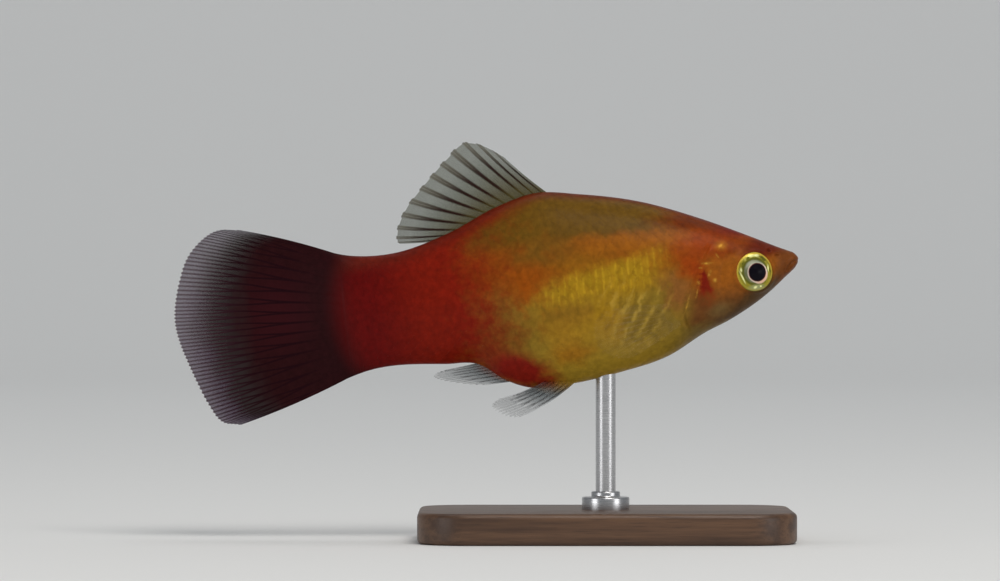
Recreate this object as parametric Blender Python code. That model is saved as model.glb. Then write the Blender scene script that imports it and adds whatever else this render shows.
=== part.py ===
"""A platy, a small live-bearing aquarium fish, as a life-size still model on a plain display stand.

The fish is modelled straight and level first, in millimetres: s is the distance behind the tip of the
snout, h is the height above the body's axis, and y is the distance to the fish's left. Its flesh is one
lofted shape that thin cuts part into head, jaw, trunk and tail stalk. Each fin is one sheet with its rays
raised in its own surface. At the end the fish takes its pose: the tail swings a little to the left and the
nose is up. +X is forward and the stand's foot is at Z = 0.
"""

import math

import bmesh
import bpy
import numpy as np
from mathutils import Matrix, Vector

MM = 0.001
GAP = 0.3

# Lines of the body, as (s, value) in millimetres.
TAIL_BASE = 36.6
BACK_LINE = (
    (0.0, 0.35), (1.4, 1.02), (3.6, 2.18), (7.4, 4.08), (12.0, 5.98), (16.7, 7.14),
    (20.4, 7.66), (23.3, 7.0), (27.8, 5.22), (32.4, 4.22), (35.6, 4.46), (38.7, 5.5),
)
BELLY_LINE = (
    (0.0, -0.5), (0.8, -1.08), (2.6, -2.42), (6.0, -4.25), (8.0, -5.0), (11.1, -6.5), (15.2, -7.38),
    (19.5, -7.84), (22.8, -7.66), (24.4, -6.9), (26.2, -5.5), (29.0, -5.08), (35.0, -4.84), (38.4, -5.71),
)
HALF_WIDTH = (
    (0.0, 0.85), (1.5, 1.5), (3.6, 2.3), (6.5, 2.95), (10.0, 3.35), (15.0, 3.55), (20.0, 3.35),
    (25.0, 2.6), (30.0, 1.95), (34.0, 1.45), (37.0, 1.0), (40.0, 0.6),
)
WIDEST_LEVEL = (
    (0.0, -0.05), (3.6, -0.45), (9.0, -0.8), (16.0, -1.3), (24.0, -0.5), (32.0, -0.3), (40.0, -0.2),
)
BACK_FULLNESS = ((0.0, 2.3), (4.0, 2.6), (9.0, 2.3), (18.0, 1.95), (28.0, 1.9), (40.0, 2.0))
BELLY_FULLNESS = ((0.0, 2.2), (4.0, 2.4), (9.0, 2.2), (17.0, 2.15), (24.5, 1.75), (30.0, 1.9), (40.0, 2.0))
NOSE_RADIUS = 0.45
BODY_SIDES = 28
NOSE_STATIONS = (0.04, 0.14, 0.29, 0.45, 0.7)
CLEAR_OF_BODY = 20.0

# Where the flesh is parted.
GILL_EDGE = (
    (6.9, 2.3), (7.5, 0.75), (8.4, -0.6), (9.05, -1.9), (9.4, -3.0), (9.3, -4.1), (8.7, -5.0), (7.7, -5.7),
)
GILL_SLIT = 0.42
THROAT_LEAN = 0.4
AHEAD = 3.0
STALK_START = 28.4
MOUTH_LINE = ((-1.0, -0.05), (0.4, -0.18), (0.95, -0.55))
JAW_BACK = ((1.4, -1.3), (1.95, -3.2), (-1.0, -3.2))

# Gill covers, as (h, s of the front edge, s of the rear edge), lips, eyes and nostrils.
COVER_EDGES = (
    (0.6, 6.9, 7.5), (0.3, 6.5, 7.75), (-0.6, 5.95, 8.35), (-1.9, 5.75, 9.0),
    (-2.8, 5.85, 9.3), (-3.5, 6.1, 9.3), (-4.0, 6.6, 9.05), (-4.25, 7.3, 8.6),
)
COVER_PROUD = 0.12
COVER_DEPTH = 0.55
LIP_RADIUS = 0.2
LIP_OFFSET = 0.15
EYE_PLACE = (3.71, -0.65)
EYE_RADIUS = 1.5
EYE_DEPTH = 0.85
EYE_YAW = 14.0
EYE_SIDES = 24
ORBIT = ((0.0, -0.6), (0.26, -0.6), (0.26, -0.03), (0.16, 0.12), (0.02, 0.14))
PUPIL_RADIUS = 0.72
NOSTRILS = ((1.75, 0.45), (2.25, 0.85))
NOSTRIL_RADIUS = 0.2

# Fins. A sheet is at least this thick, and a ray stands up from it on both faces.
SHEET = 0.5
SHEET_TIP = 0.34
RAY_RISE = 0.16
RAY_RISE_TIP = 0.07
ROOT_SINK = 0.9
STALK_SHEATH = 0.34
TIP_START = 0.8
BRANCH_SPREAD = 0.2
# Across one ray, as (place, height of the ridge at the fin's root, at its tip).
PLAIN_RAY = ((0.3, 0.15, 0.15), (0.5, 1.0, 1.0), (0.7, 0.15, 0.15))
BRANCHED_RAY = ((0.26, 0.3, 1.0), (0.5, 1.0, 0.0), (0.74, 0.3, 1.0))

# Pose and stand.
NOSE_UP = 6.83
SWING_START = 14.0
SWING_LENGTH = 36.0
SWING_REACH = 3.0
SNOUT_HEIGHT = 22.6
BASE_SIZE = (30.0, 20.0, 2.5)
BASE_CORNER = 4.0
CORNER_STEPS = 5
BASE_EDGE = 0.4
ROD_RADIUS = 0.8
ROD_PLACE = 16.4
ROD_SIDES = 20

RED = (0.30, 0.02, 0.01, 1.0)
ORANGE = (0.55, 0.16, 0.02, 1.0)
GOLD = (0.55, 0.32, 0.04, 1.0)
BLACK_RED = (0.035, 0.008, 0.01, 1.0)
CLEAR_GREEN = (0.20, 0.26, 0.20, 1.0)
SILVER = (0.62, 0.62, 0.42, 1.0)
WALNUT = (0.12, 0.06, 0.035, 1.0)
STEEL = (0.62, 0.62, 0.63, 1.0)


def clear_scene():
    for obj in list(bpy.data.objects):
        bpy.data.objects.remove(obj)


def material(name, colour, roughness, metallic=0.0):
    made = bpy.data.materials.new(name)
    made.use_nodes = True
    shader = made.node_tree.nodes["Principled BSDF"]
    shader.inputs["Base Color"].default_value = colour
    shader.inputs["Roughness"].default_value = roughness
    shader.inputs["Metallic"].default_value = metallic
    return made


def smooth_line(points):
    """A smooth curve through (s, value) points, as a function of s."""
    at, value = (np.array(column, float) for column in zip(*points))
    slope = np.gradient(value, at)

    def read(s):
        i = int(np.clip(np.searchsorted(at, s) - 1, 0, len(at) - 2))
        span = at[i + 1] - at[i]
        t = (s - at[i]) / span
        start = (1 + 2 * t) * value[i] + t * span * slope[i]
        end = (3 - 2 * t) * value[i + 1] - (1 - t) * span * slope[i + 1]
        return float((1 - t) ** 2 * start + t * t * end)

    return read


back = smooth_line(BACK_LINE)
belly = smooth_line(BELLY_LINE)
half_width = smooth_line(HALF_WIDTH)
widest_level = smooth_line(WIDEST_LEVEL)
back_fullness = smooth_line(BACK_FULLNESS)
belly_fullness = smooth_line(BELLY_FULLNESS)


def at(s, y, h):
    """The Blender point for a place on the straight fish."""
    return Vector((-s, y, h)) * MM


def nose_rounding(s):
    """0 at the tip of the snout and 1 behind it, so that the nose is blunt."""
    if s >= NOSE_RADIUS:
        return 1.0
    return math.sqrt(max(0.0, 1 - (1 - s / NOSE_RADIUS) ** 2))


def section(s, upper):
    """(rise, fullness) of the body's upper or lower half at s."""
    if upper:
        return (back(s) - widest_level(s)) * nose_rounding(s), back_fullness(s)
    return (widest_level(s) - belly(s)) * nose_rounding(s), belly_fullness(s)


def skin_ring(s, grow=0.0, sides=BODY_SIDES):
    """The body's outline across s, from its left side over the back, with the skin moved out by grow."""
    ring = []
    for i in range(sides):
        turn = 2 * math.pi * i / sides
        across, up = math.cos(turn), math.sin(turn)
        rise, fullness = section(s, up > 0)
        y = (half_width(s) * nose_rounding(s) + grow) * math.copysign(abs(across) ** (2 / fullness), across)
        h = (rise + grow) * math.copysign(abs(up) ** (2 / fullness), up)
        ring.append(at(s, y, widest_level(s) + h))
    return ring


def skin_width(s, h):
    """How far the skin is from the middle plane at s and h."""
    rise, fullness = section(s, h > widest_level(s))
    share = min(1.0, abs(h - widest_level(s)) / max(rise, 1e-6))
    return half_width(s) * nose_rounding(s) * (1 - share**fullness) ** (1 / fullness)


def object_of(name, mesh, look=None):
    obj = bpy.data.objects.new(name, mesh)
    bpy.context.scene.collection.objects.link(obj)
    if look:
        mesh.materials.append(look)
    return obj


def mesh_of(name, points, faces):
    """A mesh with its faces turned outwards and every face a triangle."""
    mesh = bpy.data.meshes.new(name)
    mesh.from_pydata(points, [], faces)
    work = bmesh.new()
    work.from_mesh(mesh)
    bmesh.ops.recalc_face_normals(work, faces=work.faces)
    bmesh.ops.triangulate(work, faces=work.faces)
    work.to_mesh(mesh)
    work.free()
    return mesh


def loft(name, rings, look=None):
    """A closed body through rings of equal length."""
    count = len(rings[0])
    faces = []
    for i in range(len(rings) - 1):
        for j in range(count):
            k = (j + 1) % count
            faces.append((i * count + j, i * count + k, (i + 1) * count + k, (i + 1) * count + j))
    faces.append(tuple(range(count)))
    faces.append(tuple(range((len(rings) - 1) * count, len(rings) * count)))
    return object_of(name, mesh_of(name, [p for ring in rings for p in ring], faces), look)


def hoop(name, rings):
    """A closed ring-shaped body through rings of equal length, the last joined to the first."""
    count = len(rings[0])
    faces = []
    for i in range(len(rings)):
        k = (i + 1) % len(rings)
        for j in range(count):
            n = (j + 1) % count
            faces.append((i * count + j, i * count + n, k * count + n, k * count + j))
    return object_of(name, mesh_of(name, [p for ring in rings for p in ring], faces))


def body_loft(name, start, end, grow=0.0, look=None, step=1.0):
    """The body between two distances behind the snout, with its skin moved out by grow."""
    count = max(2, round((end - start) / step))
    stations = [start + (end - start) * i / count for i in range(count + 1)]
    if start == 0.0:
        stations = [*NOSE_STATIONS, *[s for s in stations if s > NOSE_STATIONS[-1] + step / 2]]
    return loft(name, [skin_ring(s, grow) for s in stations], look)


def prism(name, outline):
    """An outline in the side view, as (s, h) points, run right across the fish."""
    return loft(name, [[at(s, y, h) for s, h in outline] for y in (-CLEAR_OF_BODY, CLEAR_OF_BODY)])


def grown(outline, by):
    """An outline moved outwards by a distance, corner by corner."""
    points = [Vector(p) for p in outline]
    area = sum(a.cross(b) for a, b in zip(points, points[1:] + points[:1]))
    out = []
    for i, point in enumerate(points):
        before = (point - points[i - 1]).normalized()
        after = (points[(i + 1) % len(points)] - point).normalized()
        along = (before + after).normalized()
        normal = Vector((along.y, -along.x)) * (1 if area > 0 else -1)
        out.append(tuple(point + normal * by / max(0.5, along.dot(after))))
    return out


def apply_modifiers(obj):
    graph = bpy.context.evaluated_depsgraph_get()
    shaped = bpy.data.meshes.new_from_object(obj.evaluated_get(graph))
    obj.modifiers.clear()
    obj.data = shaped


def keep_largest(obj):
    """Drops every closed surface of the mesh but the one that holds most."""
    work = bmesh.new()
    work.from_mesh(obj.data)
    left = set(work.faces)
    shells = []
    while left:
        shell = [left.pop()]
        for face in shell:
            for edge in face.edges:
                for other in edge.link_faces:
                    if other in left:
                        left.remove(other)
                        shell.append(other)
        shells.append(shell)
    shells.sort(key=lambda shell: sum(face.calc_area() for face in shell))
    for shell in shells[:-1]:
        bmesh.ops.delete(work, geom=shell, context="FACES")
    bmesh.ops.triangulate(work, faces=work.faces)
    work.to_mesh(obj.data)
    work.free()


def combine(obj, operation, tools):
    """One Boolean of the object with all the tools, applied, with the tools then removed."""
    group = bpy.data.collections.new("tools")
    bpy.context.scene.collection.children.link(group)
    for tool in tools:
        tool.users_collection[0].objects.unlink(tool)
        group.objects.link(tool)
    modifier = obj.modifiers.new(operation.title(), "BOOLEAN")
    modifier.operation = operation
    modifier.operand_type = "COLLECTION"
    modifier.collection = group
    apply_modifiers(obj)
    for tool in tools:
        bpy.data.objects.remove(tool)
    bpy.data.collections.remove(group)
    keep_largest(obj)


def cut(obj, *tools):
    for tool in tools:
        combine(obj, "DIFFERENCE", [tool])


def keep_inside(obj, tool):
    modifier = obj.modifiers.new("Inside", "BOOLEAN")
    modifier.operation = "INTERSECT"
    modifier.object = tool
    apply_modifiers(obj)
    bpy.data.objects.remove(tool)
    keep_largest(obj)


def tube(name, path, radius, sides=6):
    """A round bar along a path of points, which thins to half at its ends."""
    rings = []
    for i, point in enumerate(path):
        thick = radius * (1 - 0.5 * abs(2 * i / (len(path) - 1) - 1) ** 3)
        along = (path[min(i + 1, len(path) - 1)] - path[max(i - 1, 0)]).normalized()
        side = along.cross(Vector((0, 0, 1))).normalized()
        up = side.cross(along)
        turns = [2 * math.pi * k / sides for k in range(sides)]
        rings.append([point + (side * math.cos(t) + up * math.sin(t)) * thick * MM for t in turns])
    return loft(name, rings)


# Flesh


def gill_line(shift):
    """The line from nape to throat where the head ends, moved back by shift."""
    nape, throat = GILL_EDGE[0], GILL_EDGE[-1]
    line = [(nape[0], CLEAR_OF_BODY), *GILL_EDGE, (throat[0] - THROAT_LEAN, -CLEAR_OF_BODY)]
    return [(s + shift, h) for s, h in line]


def front_outline(shift):
    """All of the fish's front, up to the gill line moved back by shift."""
    return [(-AHEAD, CLEAR_OF_BODY), *gill_line(shift), (-AHEAD, -CLEAR_OF_BODY)]


def jaw_outline():
    return [*MOUTH_LINE, *JAW_BACK]


def lip(name, offset):
    """A lip round the mouth, from one corner over the tip of the snout to the other."""
    front, corner = MOUTH_LINE[-2:]
    slope = (corner[1] - front[1]) / (corner[0] - front[0])

    def height(s):
        return front[1] + slope * max(0.0, s - front[0]) + offset

    tip = next(s / 100 for s in range(1, 100) if skin_width(s / 100, height(s / 100)) > 0.3)
    side = []
    for share in (0.0, 0.06, 0.18, 0.36, 0.6, 0.8, 1.0):
        s = tip + (corner[0] + 0.1 - tip) * share
        side.append((s, skin_width(s, height(s)) - LIP_RADIUS * 0.3, height(s)))
    path = [at(s, y, h) for s, y, h in reversed(side)] + [at(s, -y, h) for s, y, h in side]
    return tube(name, path, LIP_RADIUS)


def eye_frame(side):
    """Places a thing that looks along +Z on the head's side, where the eye looks out."""
    s, h = EYE_PLACE
    out = Matrix.Rotation(-side * math.pi / 2, 4, "X")
    yaw = Matrix.Rotation(-side * math.radians(EYE_YAW), 4, "Z")
    return Matrix.Translation(at(s, side * skin_width(s, h), h)) @ yaw @ out


def turned(name, profile, steps, frame, look=None):
    """A body turned about +Z from (radius, height) points, then set in a frame."""
    rings = []
    for radius, height in profile:
        turns = [2 * math.pi * k / steps for k in range(steps)]
        points = [Vector((radius * math.cos(t), radius * math.sin(t), height)) for t in turns]
        rings.append([frame @ (point * MM) for point in points])
    return loft(name, rings, look)


def eye_socket(side):
    wide = EYE_RADIUS + GAP
    floor = -EYE_DEPTH - GAP
    profile = ((wide * 0.75, floor), (wide, floor * 0.5), (wide, AHEAD))
    return turned("socket", profile, EYE_SIDES, eye_frame(side))


def eye_rim(side):
    """The raised ring of skin round the eye, which follows the head's own surface."""
    rings = []
    inner = EYE_RADIUS + GAP * 0.9
    for k in range(EYE_SIDES):
        turn = 2 * math.pi * k / EYE_SIDES
        ring = []
        for beyond, proud in ORBIT:
            s = EYE_PLACE[0] + (inner + beyond) * math.cos(turn)
            h = EYE_PLACE[1] + (inner + beyond) * math.sin(turn)
            ring.append(at(s, side * (skin_width(s, h) + proud), h))
        rings.append(ring)
    return hoop("eye rim", rings)


def nostril(side, place):
    s, h = place
    bpy.ops.mesh.primitive_ico_sphere_add(
        subdivisions=1, radius=NOSTRIL_RADIUS * MM, location=at(s, side * skin_width(s, h), h)
    )
    return bpy.context.object


def cover_plate(name, side, spread, inner, outer, look=None):
    """A plate in the shape of a gill cover, with its outline moved out by spread.

    It reaches from inner to outer, both measured sideways from the skin.
    """
    edges = [(-h, front, rear) for h, front, rear in COVER_EDGES]
    front = smooth_line([(h, s) for h, s, _ in edges])
    rear = smooth_line([(h, s) for h, _, s in edges])
    top, bottom = edges[0][0], edges[-1][0]
    middle = (top + bottom) / 2
    rings = []
    for i in range(11):
        level = top + (bottom - top) * (0.5 - 0.5 * math.cos(math.pi * i / 10))
        h = -(middle + (level - middle) * (1 + 2 * spread / (bottom - top)))
        start, end = front(level) - spread, rear(level) + spread
        across = [start + (end - start) * j / 7 for j in range(8)]
        out = [at(s, side * (skin_width(s, h) + outer), h) for s in across]
        back_side = [at(s, side * (skin_width(s, h) + inner), h) for s in reversed(across)]
        rings.append(out + back_side)
    return loft(name, rings, look)


def gill_cover(side, look):
    name = "gill_cover_" + ("left" if side > 0 else "right")
    return cover_plate(name, side, 0.0, -COVER_DEPTH, COVER_PROUD, look)


def gill_recess(side):
    return cover_plate("recess", side, GAP, -(COVER_DEPTH + GAP), 2.0)


def head(look):
    made = body_loft("head", 0.0, 12.0, look=look, step=0.8)
    keep_inside(made, prism("front of the fish", front_outline(0.0)))
    combine(made, "UNION", [lip("upper lip", GAP + LIP_OFFSET), eye_rim(1), eye_rim(-1)])
    cut(made, prism("jaw room", grown(jaw_outline(), GAP)))
    for side in (1, -1):
        cut(made, gill_recess(side), eye_socket(side), *[nostril(side, place) for place in NOSTRILS])
    return made


def jaw(look):
    made = body_loft("jaw_lower", 0.0, 4.0, look=look, step=0.5)
    keep_inside(made, prism("jaw area", jaw_outline()))
    combine(made, "UNION", [lip("lower lip", -LIP_OFFSET)])
    return made


def trunk(look):
    made = body_loft("trunk", 5.0, STALK_START, look=look)
    cut(made, prism("front of the fish", front_outline(GILL_SLIT)))
    return made


def eye(side, look):
    """A lens-shaped eye: back, rim, iris that falls in towards the pupil, and the lens that fills it."""
    name = "eye_" + ("left" if side > 0 else "right")
    back_side = ((0.25, -EYE_DEPTH), (EYE_RADIUS * 0.75, -EYE_DEPTH), (EYE_RADIUS, -EYE_DEPTH * 0.45))
    iris = ((EYE_RADIUS, 0.0), (EYE_RADIUS * 0.9, 0.24), (EYE_RADIUS * 0.72, 0.36), (PUPIL_RADIUS, 0.36))
    pupil = ((PUPIL_RADIUS * 0.92, 0.44), (PUPIL_RADIUS * 0.5, 0.56), (0.08, 0.6))
    return turned(name, (*back_side, *iris, *pupil), EYE_SIDES, eye_frame(side), look)


# Fins


def through(points, share):
    """The place at a share, from 0 to 1, of a smooth line through equally spaced points."""
    steps = range(len(points))
    lines = [smooth_line(tuple(zip(steps, column))) for column in zip(*points)]
    return np.array([line(share * (len(points) - 1)) for line in lines])


def ray_columns(rays, ridges):
    """Each column of a fin's grid as (share across the fin, height of the ray at its root, at its tip)."""
    columns = []
    for i in range(rays):
        columns.append((i / rays, 0.0, 0.0))
        columns += [((i + x) / rays, root, tip) for x, root, tip in ridges]
    columns.append((1.0, 0.0, 0.0))
    return columns


def fin(name, look, root, tips, rays, lateral, rows=9, bow=0.0, ridges=PLAIN_RAY, branch=0.5, notch=0.04,
        sheath=None, thicker=1.0):
    """A fin as one sheet: root and tips are (s, h) points of its inner and outer edge, front to back.

    lateral(u, v) is its distance from the middle plane, u from root to tip and v across the rays. bow bends
    the rays, and sheath(u, v) is extra thickness near the root.
    """
    columns = ray_columns(rays, ridges)
    near, far = [], []
    for i in range(rows + 1):
        u = i / rows
        split = min(1.0, max(0.0, (u - branch) / BRANCH_SPREAD + 0.5))
        for v, at_root, at_tip in columns:
            start, end = through(root, v), through(tips, v)
            ridge = at_root * (1 - split) + at_tip * split
            reach = u * (1 - notch * (1 - max(at_root, at_tip)) * u)
            chord = end - start
            across = np.array((-chord[1], chord[0])) * bow * 4 * reach * (1 - reach)
            s, h = start + chord * reach + across
            fade = max(0.0, (u - TIP_START) / (1 - TIP_START))
            thick = SHEET + (SHEET_TIP - SHEET) * fade
            thick += 2 * ridge * (RAY_RISE + (RAY_RISE_TIP - RAY_RISE) * u)
            thick = thick * thicker + (sheath(u, v) if sheath else 0.0)
            y = lateral(u, v)
            near.append(at(s, y - thick / 2, h))
            far.append(at(s, y + thick / 2, h))
    width, total = len(columns), len(near)
    faces = []
    for i in range(rows):
        for j in range(width - 1):
            a, b = i * width + j, i * width + j + 1
            c, d = b + width, a + width
            faces += [(a, b, c), (a, c, d)]
            faces += [(total + a, total + c, total + b), (total + a, total + d, total + c)]
    bottom = list(range(width))
    top = [rows * width + j for j in range(width)]
    front = [i * width for i in range(rows + 1)]
    rear = [i * width + width - 1 for i in range(rows + 1)]
    for line in (bottom, top, front, rear):
        for a, b in zip(line, line[1:]):
            faces += [(a, b, total + b), (a, total + b, total + a)]
    return object_of(name, mesh_of(name, near + far, faces), look)


def root_sheath(thickness, length):
    """Extra thickness that fades out over the first share of a fin."""
    return lambda u, v: thickness * max(0.0, 1 - u / length) ** 2


def set_on_body(obj):
    """Cuts a fin clear of the skin, so that its root meets the body face to face."""
    cut(obj, body_loft("skin room", 4.0, TAIL_BASE + 2.0, GAP))


def dorsal_fin(look):
    root = [(s, back(s) - ROOT_SINK) for s in (18.4, 20.4, 22.4, 24.2, 25.9, 27.3)]
    tips = [
        (22.5, 10.9), (24.1, 12.02), (25.6, 12.36), (26.95, 11.35), (28.2, 10.25),
        (29.45, 9.05), (30.7, 7.75), (31.5, 6.4), (31.75, 5.35), (31.6, 4.95),
    ]
    made = fin(
        "dorsal_fin", look, root, tips, rays=10, bow=-0.02, notch=0.045,
        lateral=lambda u, v: 0.35 * u * u * math.sin(2.6 * math.pi * v), sheath=root_sheath(0.5, 0.22),
    )
    set_on_body(made)
    return made


def caudal_fin(look):
    start = TAIL_BASE + GAP
    root = [(start, back(start) + (belly(start) - back(start)) * x / 6) for x in range(7)]
    tips = [
        (45.3, 7.75), (46.9, 7.5), (48.05, 6.6), (49.15, 4.8), (49.95, 2.95), (50.33, 1.25),
        (50.2, -0.4), (49.75, -2.1), (49.2, -3.9), (48.5, -5.85), (47.6, -7.45), (46.4, -8.04),
    ]

    def stalk(u, v):
        """The stalk's own thickness, which thins out into the fin."""
        full = 2 * half_width(start) * math.sqrt(max(0.0, 1 - (2 * v - 1) ** 2))
        return max(0.0, full - SHEET) * max(0.0, 1 - u / STALK_SHEATH) ** 1.6

    return fin(
        "caudal_fin", look, root, tips, rays=15, rows=11, ridges=BRANCHED_RAY, notch=0.02,
        lateral=lambda u, v: 0.3 * u * math.sin(2.2 * math.pi * v + 0.6), sheath=stalk,
    )


def anal_fin(look):
    root = [(23.4, -6.95), (23.9, -6.4), (24.4, -5.9), (24.9, -5.4), (25.4, -5.0)]
    tips = [
        (26.0, -7.1), (27.4, -6.9), (28.8, -6.55), (29.7, -6.2), (30.05, -5.95), (29.8, -5.72), (29.0, -5.58),
    ]
    made = fin(
        "anal_fin", look, root, tips, rays=7, rows=7, notch=0.05,
        lateral=lambda u, v: 0.12 * u * math.sin(2 * math.pi * v), sheath=root_sheath(0.4, 0.3),
    )
    set_on_body(made)
    return made


def pelvic_fin(side, look):
    name = "pelvic_fin_" + ("left" if side > 0 else "right")
    root = [(17.9, -7.3), (18.8, -7.15), (19.6, -7.05), (20.3, -6.95)]
    tips = [(23.5, -9.95), (24.4, -9.85), (25.1, -9.5), (25.6, -9.05), (25.65, -8.7), (25.0, -8.35)]
    made = fin(
        name, look, root, tips, rays=6, rows=8, bow=-0.05, notch=0.08,
        lateral=lambda u, v: side * (0.75 + 1.1 * u + 0.5 * u * v), sheath=root_sheath(0.35, 0.35),
    )
    set_on_body(made)
    return made


def pectoral_fin(side, look):
    name = "pectoral_fin_" + ("left" if side > 0 else "right")
    root = [(10.15, -2.55), (10.25, -3.1), (10.3, -3.65), (10.25, -4.2)]
    tips = [
        (15.6, -2.35), (16.7, -2.95), (17.2, -3.85), (17.15, -4.85), (16.5, -5.75), (15.3, -6.35),
        (14.2, -6.5),
    ]
    inside = skin_width(10.3, -3.4) - ROOT_SINK
    made = fin(
        name, look, root, tips, rays=9, rows=8, notch=0.04, thicker=1.12,
        lateral=lambda u, v: side * (inside + 4.6 * u - 0.7 * u * u), sheath=root_sheath(0.35, 0.3),
    )
    set_on_body(made)
    return made


# Pose and stand


def swing(s):
    """How far the body's middle plane is carried to the fish's left."""
    return SWING_REACH * max(0.0, (s - SWING_START) / SWING_LENGTH) ** 2


def pose(obj):
    """Swings the tail, lifts the nose and puts the snout at its height."""
    turn = Matrix.Rotation(-math.radians(NOSE_UP), 4, "Y")
    place = Matrix.Translation(Vector((0, 0, SNOUT_HEIGHT)) * MM)
    for vertex in obj.data.vertices:
        vertex.co.y += swing(-vertex.co.x / MM) * MM
    obj.data.transform(place @ turn)


def posed_place(s, y, h):
    turn = Matrix.Rotation(-math.radians(NOSE_UP), 4, "Y")
    return turn @ at(s, y + swing(s), h) + Vector((0, 0, SNOUT_HEIGHT)) * MM


def stand_base(centre_x, look):
    length, width, height = BASE_SIZE
    corner = []
    for quarter in range(4):
        cx = (length / 2 - BASE_CORNER) * (1 if quarter in (0, 3) else -1)
        cy = (width / 2 - BASE_CORNER) * (1 if quarter in (0, 1) else -1)
        for k in range(CORNER_STEPS + 1):
            turn = (quarter + k / CORNER_STEPS) * math.pi / 2
            corner.append((cx + BASE_CORNER * math.cos(turn), cy + BASE_CORNER * math.sin(turn)))
    levels = ((0.0, 0.0), (height - BASE_EDGE, 0.0), (height, BASE_EDGE))
    rings = []
    for z, inset in levels:
        shrink = Vector((1 - 2 * inset / length, 1 - 2 * inset / width))
        rings.append([Vector((centre_x + x * shrink.x, y * shrink.y, z)) * MM for x, y in corner])
    return loft("stand_base", rings, look)


def stand_rod(top, body_room, look):
    """A round rod from the base up to the belly, its top cut to the belly's own curve."""
    foot = BASE_SIZE[2] + GAP
    frame = Matrix.Translation((top.x, top.y, 0.0))
    profile = ((ROD_RADIUS, foot), (ROD_RADIUS, top.z / MM + AHEAD))
    rod = turned("stand_rod", profile, ROD_SIDES, frame, look)
    cut(rod, body_room)
    return rod


def shade(obj):
    obj.data.shade_smooth()
    obj.data.set_sharp_from_angle(angle=math.radians(35))


def centre_on_origin(parts):
    """Moves all the parts so that the middle of their box is at X = 0 and Y = 0."""
    corners = [vertex.co for obj in parts for vertex in obj.data.vertices]
    low = Vector([min(c[i] for c in corners) for i in range(3)])
    high = Vector([max(c[i] for c in corners) for i in range(3)])
    middle = (low + high) / 2
    for obj in parts:
        obj.data.transform(Matrix.Translation((-middle.x, -middle.y, 0)))


def build():
    clear_scene()
    orange, gold = material("orange skin", ORANGE, 0.4), material("gold skin", GOLD, 0.35)
    red, black = material("red skin", RED, 0.4), material("black fin", BLACK_RED, 0.4)
    clear, silver = material("clear fin", CLEAR_GREEN, 0.3), material("eye silver", SILVER, 0.15, 0.6)
    walnut, steel = material("walnut", WALNUT, 0.45), material("steel", STEEL, 0.3, 1.0)

    fish = [head(orange), jaw(orange), trunk(gold)]
    fish.append(body_loft("tail_stalk", STALK_START + GAP, TAIL_BASE, look=red))
    fish += [dorsal_fin(clear), caudal_fin(black), anal_fin(clear)]
    for side in (1, -1):
        fish += [gill_cover(side, orange), eye(side, silver)]
        fish += [pelvic_fin(side, clear), pectoral_fin(side, clear)]
    body_room = body_loft("body room", 4.0, TAIL_BASE, GAP)
    for obj in [*fish, body_room]:
        pose(obj)

    top = posed_place(ROD_PLACE, 0.0, belly(ROD_PLACE))
    stand = [stand_base(top.x / MM, walnut), stand_rod(top, body_room, steel)]
    for obj in [*fish, *stand]:
        shade(obj)
    centre_on_origin([*fish, *stand])


build()
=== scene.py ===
"""A platy as a life-size museum model: painted skin, solid scales, glossy eyes, clear rayed fins, a stand."""

import math

import bmesh
import bpy
import numpy as np
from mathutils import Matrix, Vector


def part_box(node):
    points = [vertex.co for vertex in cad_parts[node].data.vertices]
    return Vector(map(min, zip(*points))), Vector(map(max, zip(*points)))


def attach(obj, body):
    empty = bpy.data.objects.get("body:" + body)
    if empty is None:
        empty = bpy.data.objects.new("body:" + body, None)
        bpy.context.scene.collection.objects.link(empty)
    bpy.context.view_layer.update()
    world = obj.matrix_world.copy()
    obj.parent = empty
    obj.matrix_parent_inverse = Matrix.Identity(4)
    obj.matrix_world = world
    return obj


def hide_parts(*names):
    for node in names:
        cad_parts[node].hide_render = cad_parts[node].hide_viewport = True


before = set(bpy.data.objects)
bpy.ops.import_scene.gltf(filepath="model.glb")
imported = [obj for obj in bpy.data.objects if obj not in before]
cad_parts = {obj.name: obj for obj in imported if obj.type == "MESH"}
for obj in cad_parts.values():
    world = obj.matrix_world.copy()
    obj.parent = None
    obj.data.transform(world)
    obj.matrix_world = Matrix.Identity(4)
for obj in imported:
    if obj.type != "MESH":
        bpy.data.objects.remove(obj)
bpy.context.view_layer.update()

# The skin. One painted skin covers head, trunk and tail stalk, so that no seam shows. It is a ring run out
# from the snout to the tail and shaped by the lines of the body, with the gill covers, mouth, nostrils and
# rims of the eyes worked into its surface. The fish is laid out straight, in millimetres: s behind the
# snout, y to its left, h above its axis. It then swings its tail and lifts its nose as the solids do.

MM = 0.001
NOSE_UP = math.radians(6.83)
SWING_START = 14.0
SWING_LENGTH = 36.0
SWING_REACH = 3.0
ROD_PLACE = (16.4, -7.54)

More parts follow.
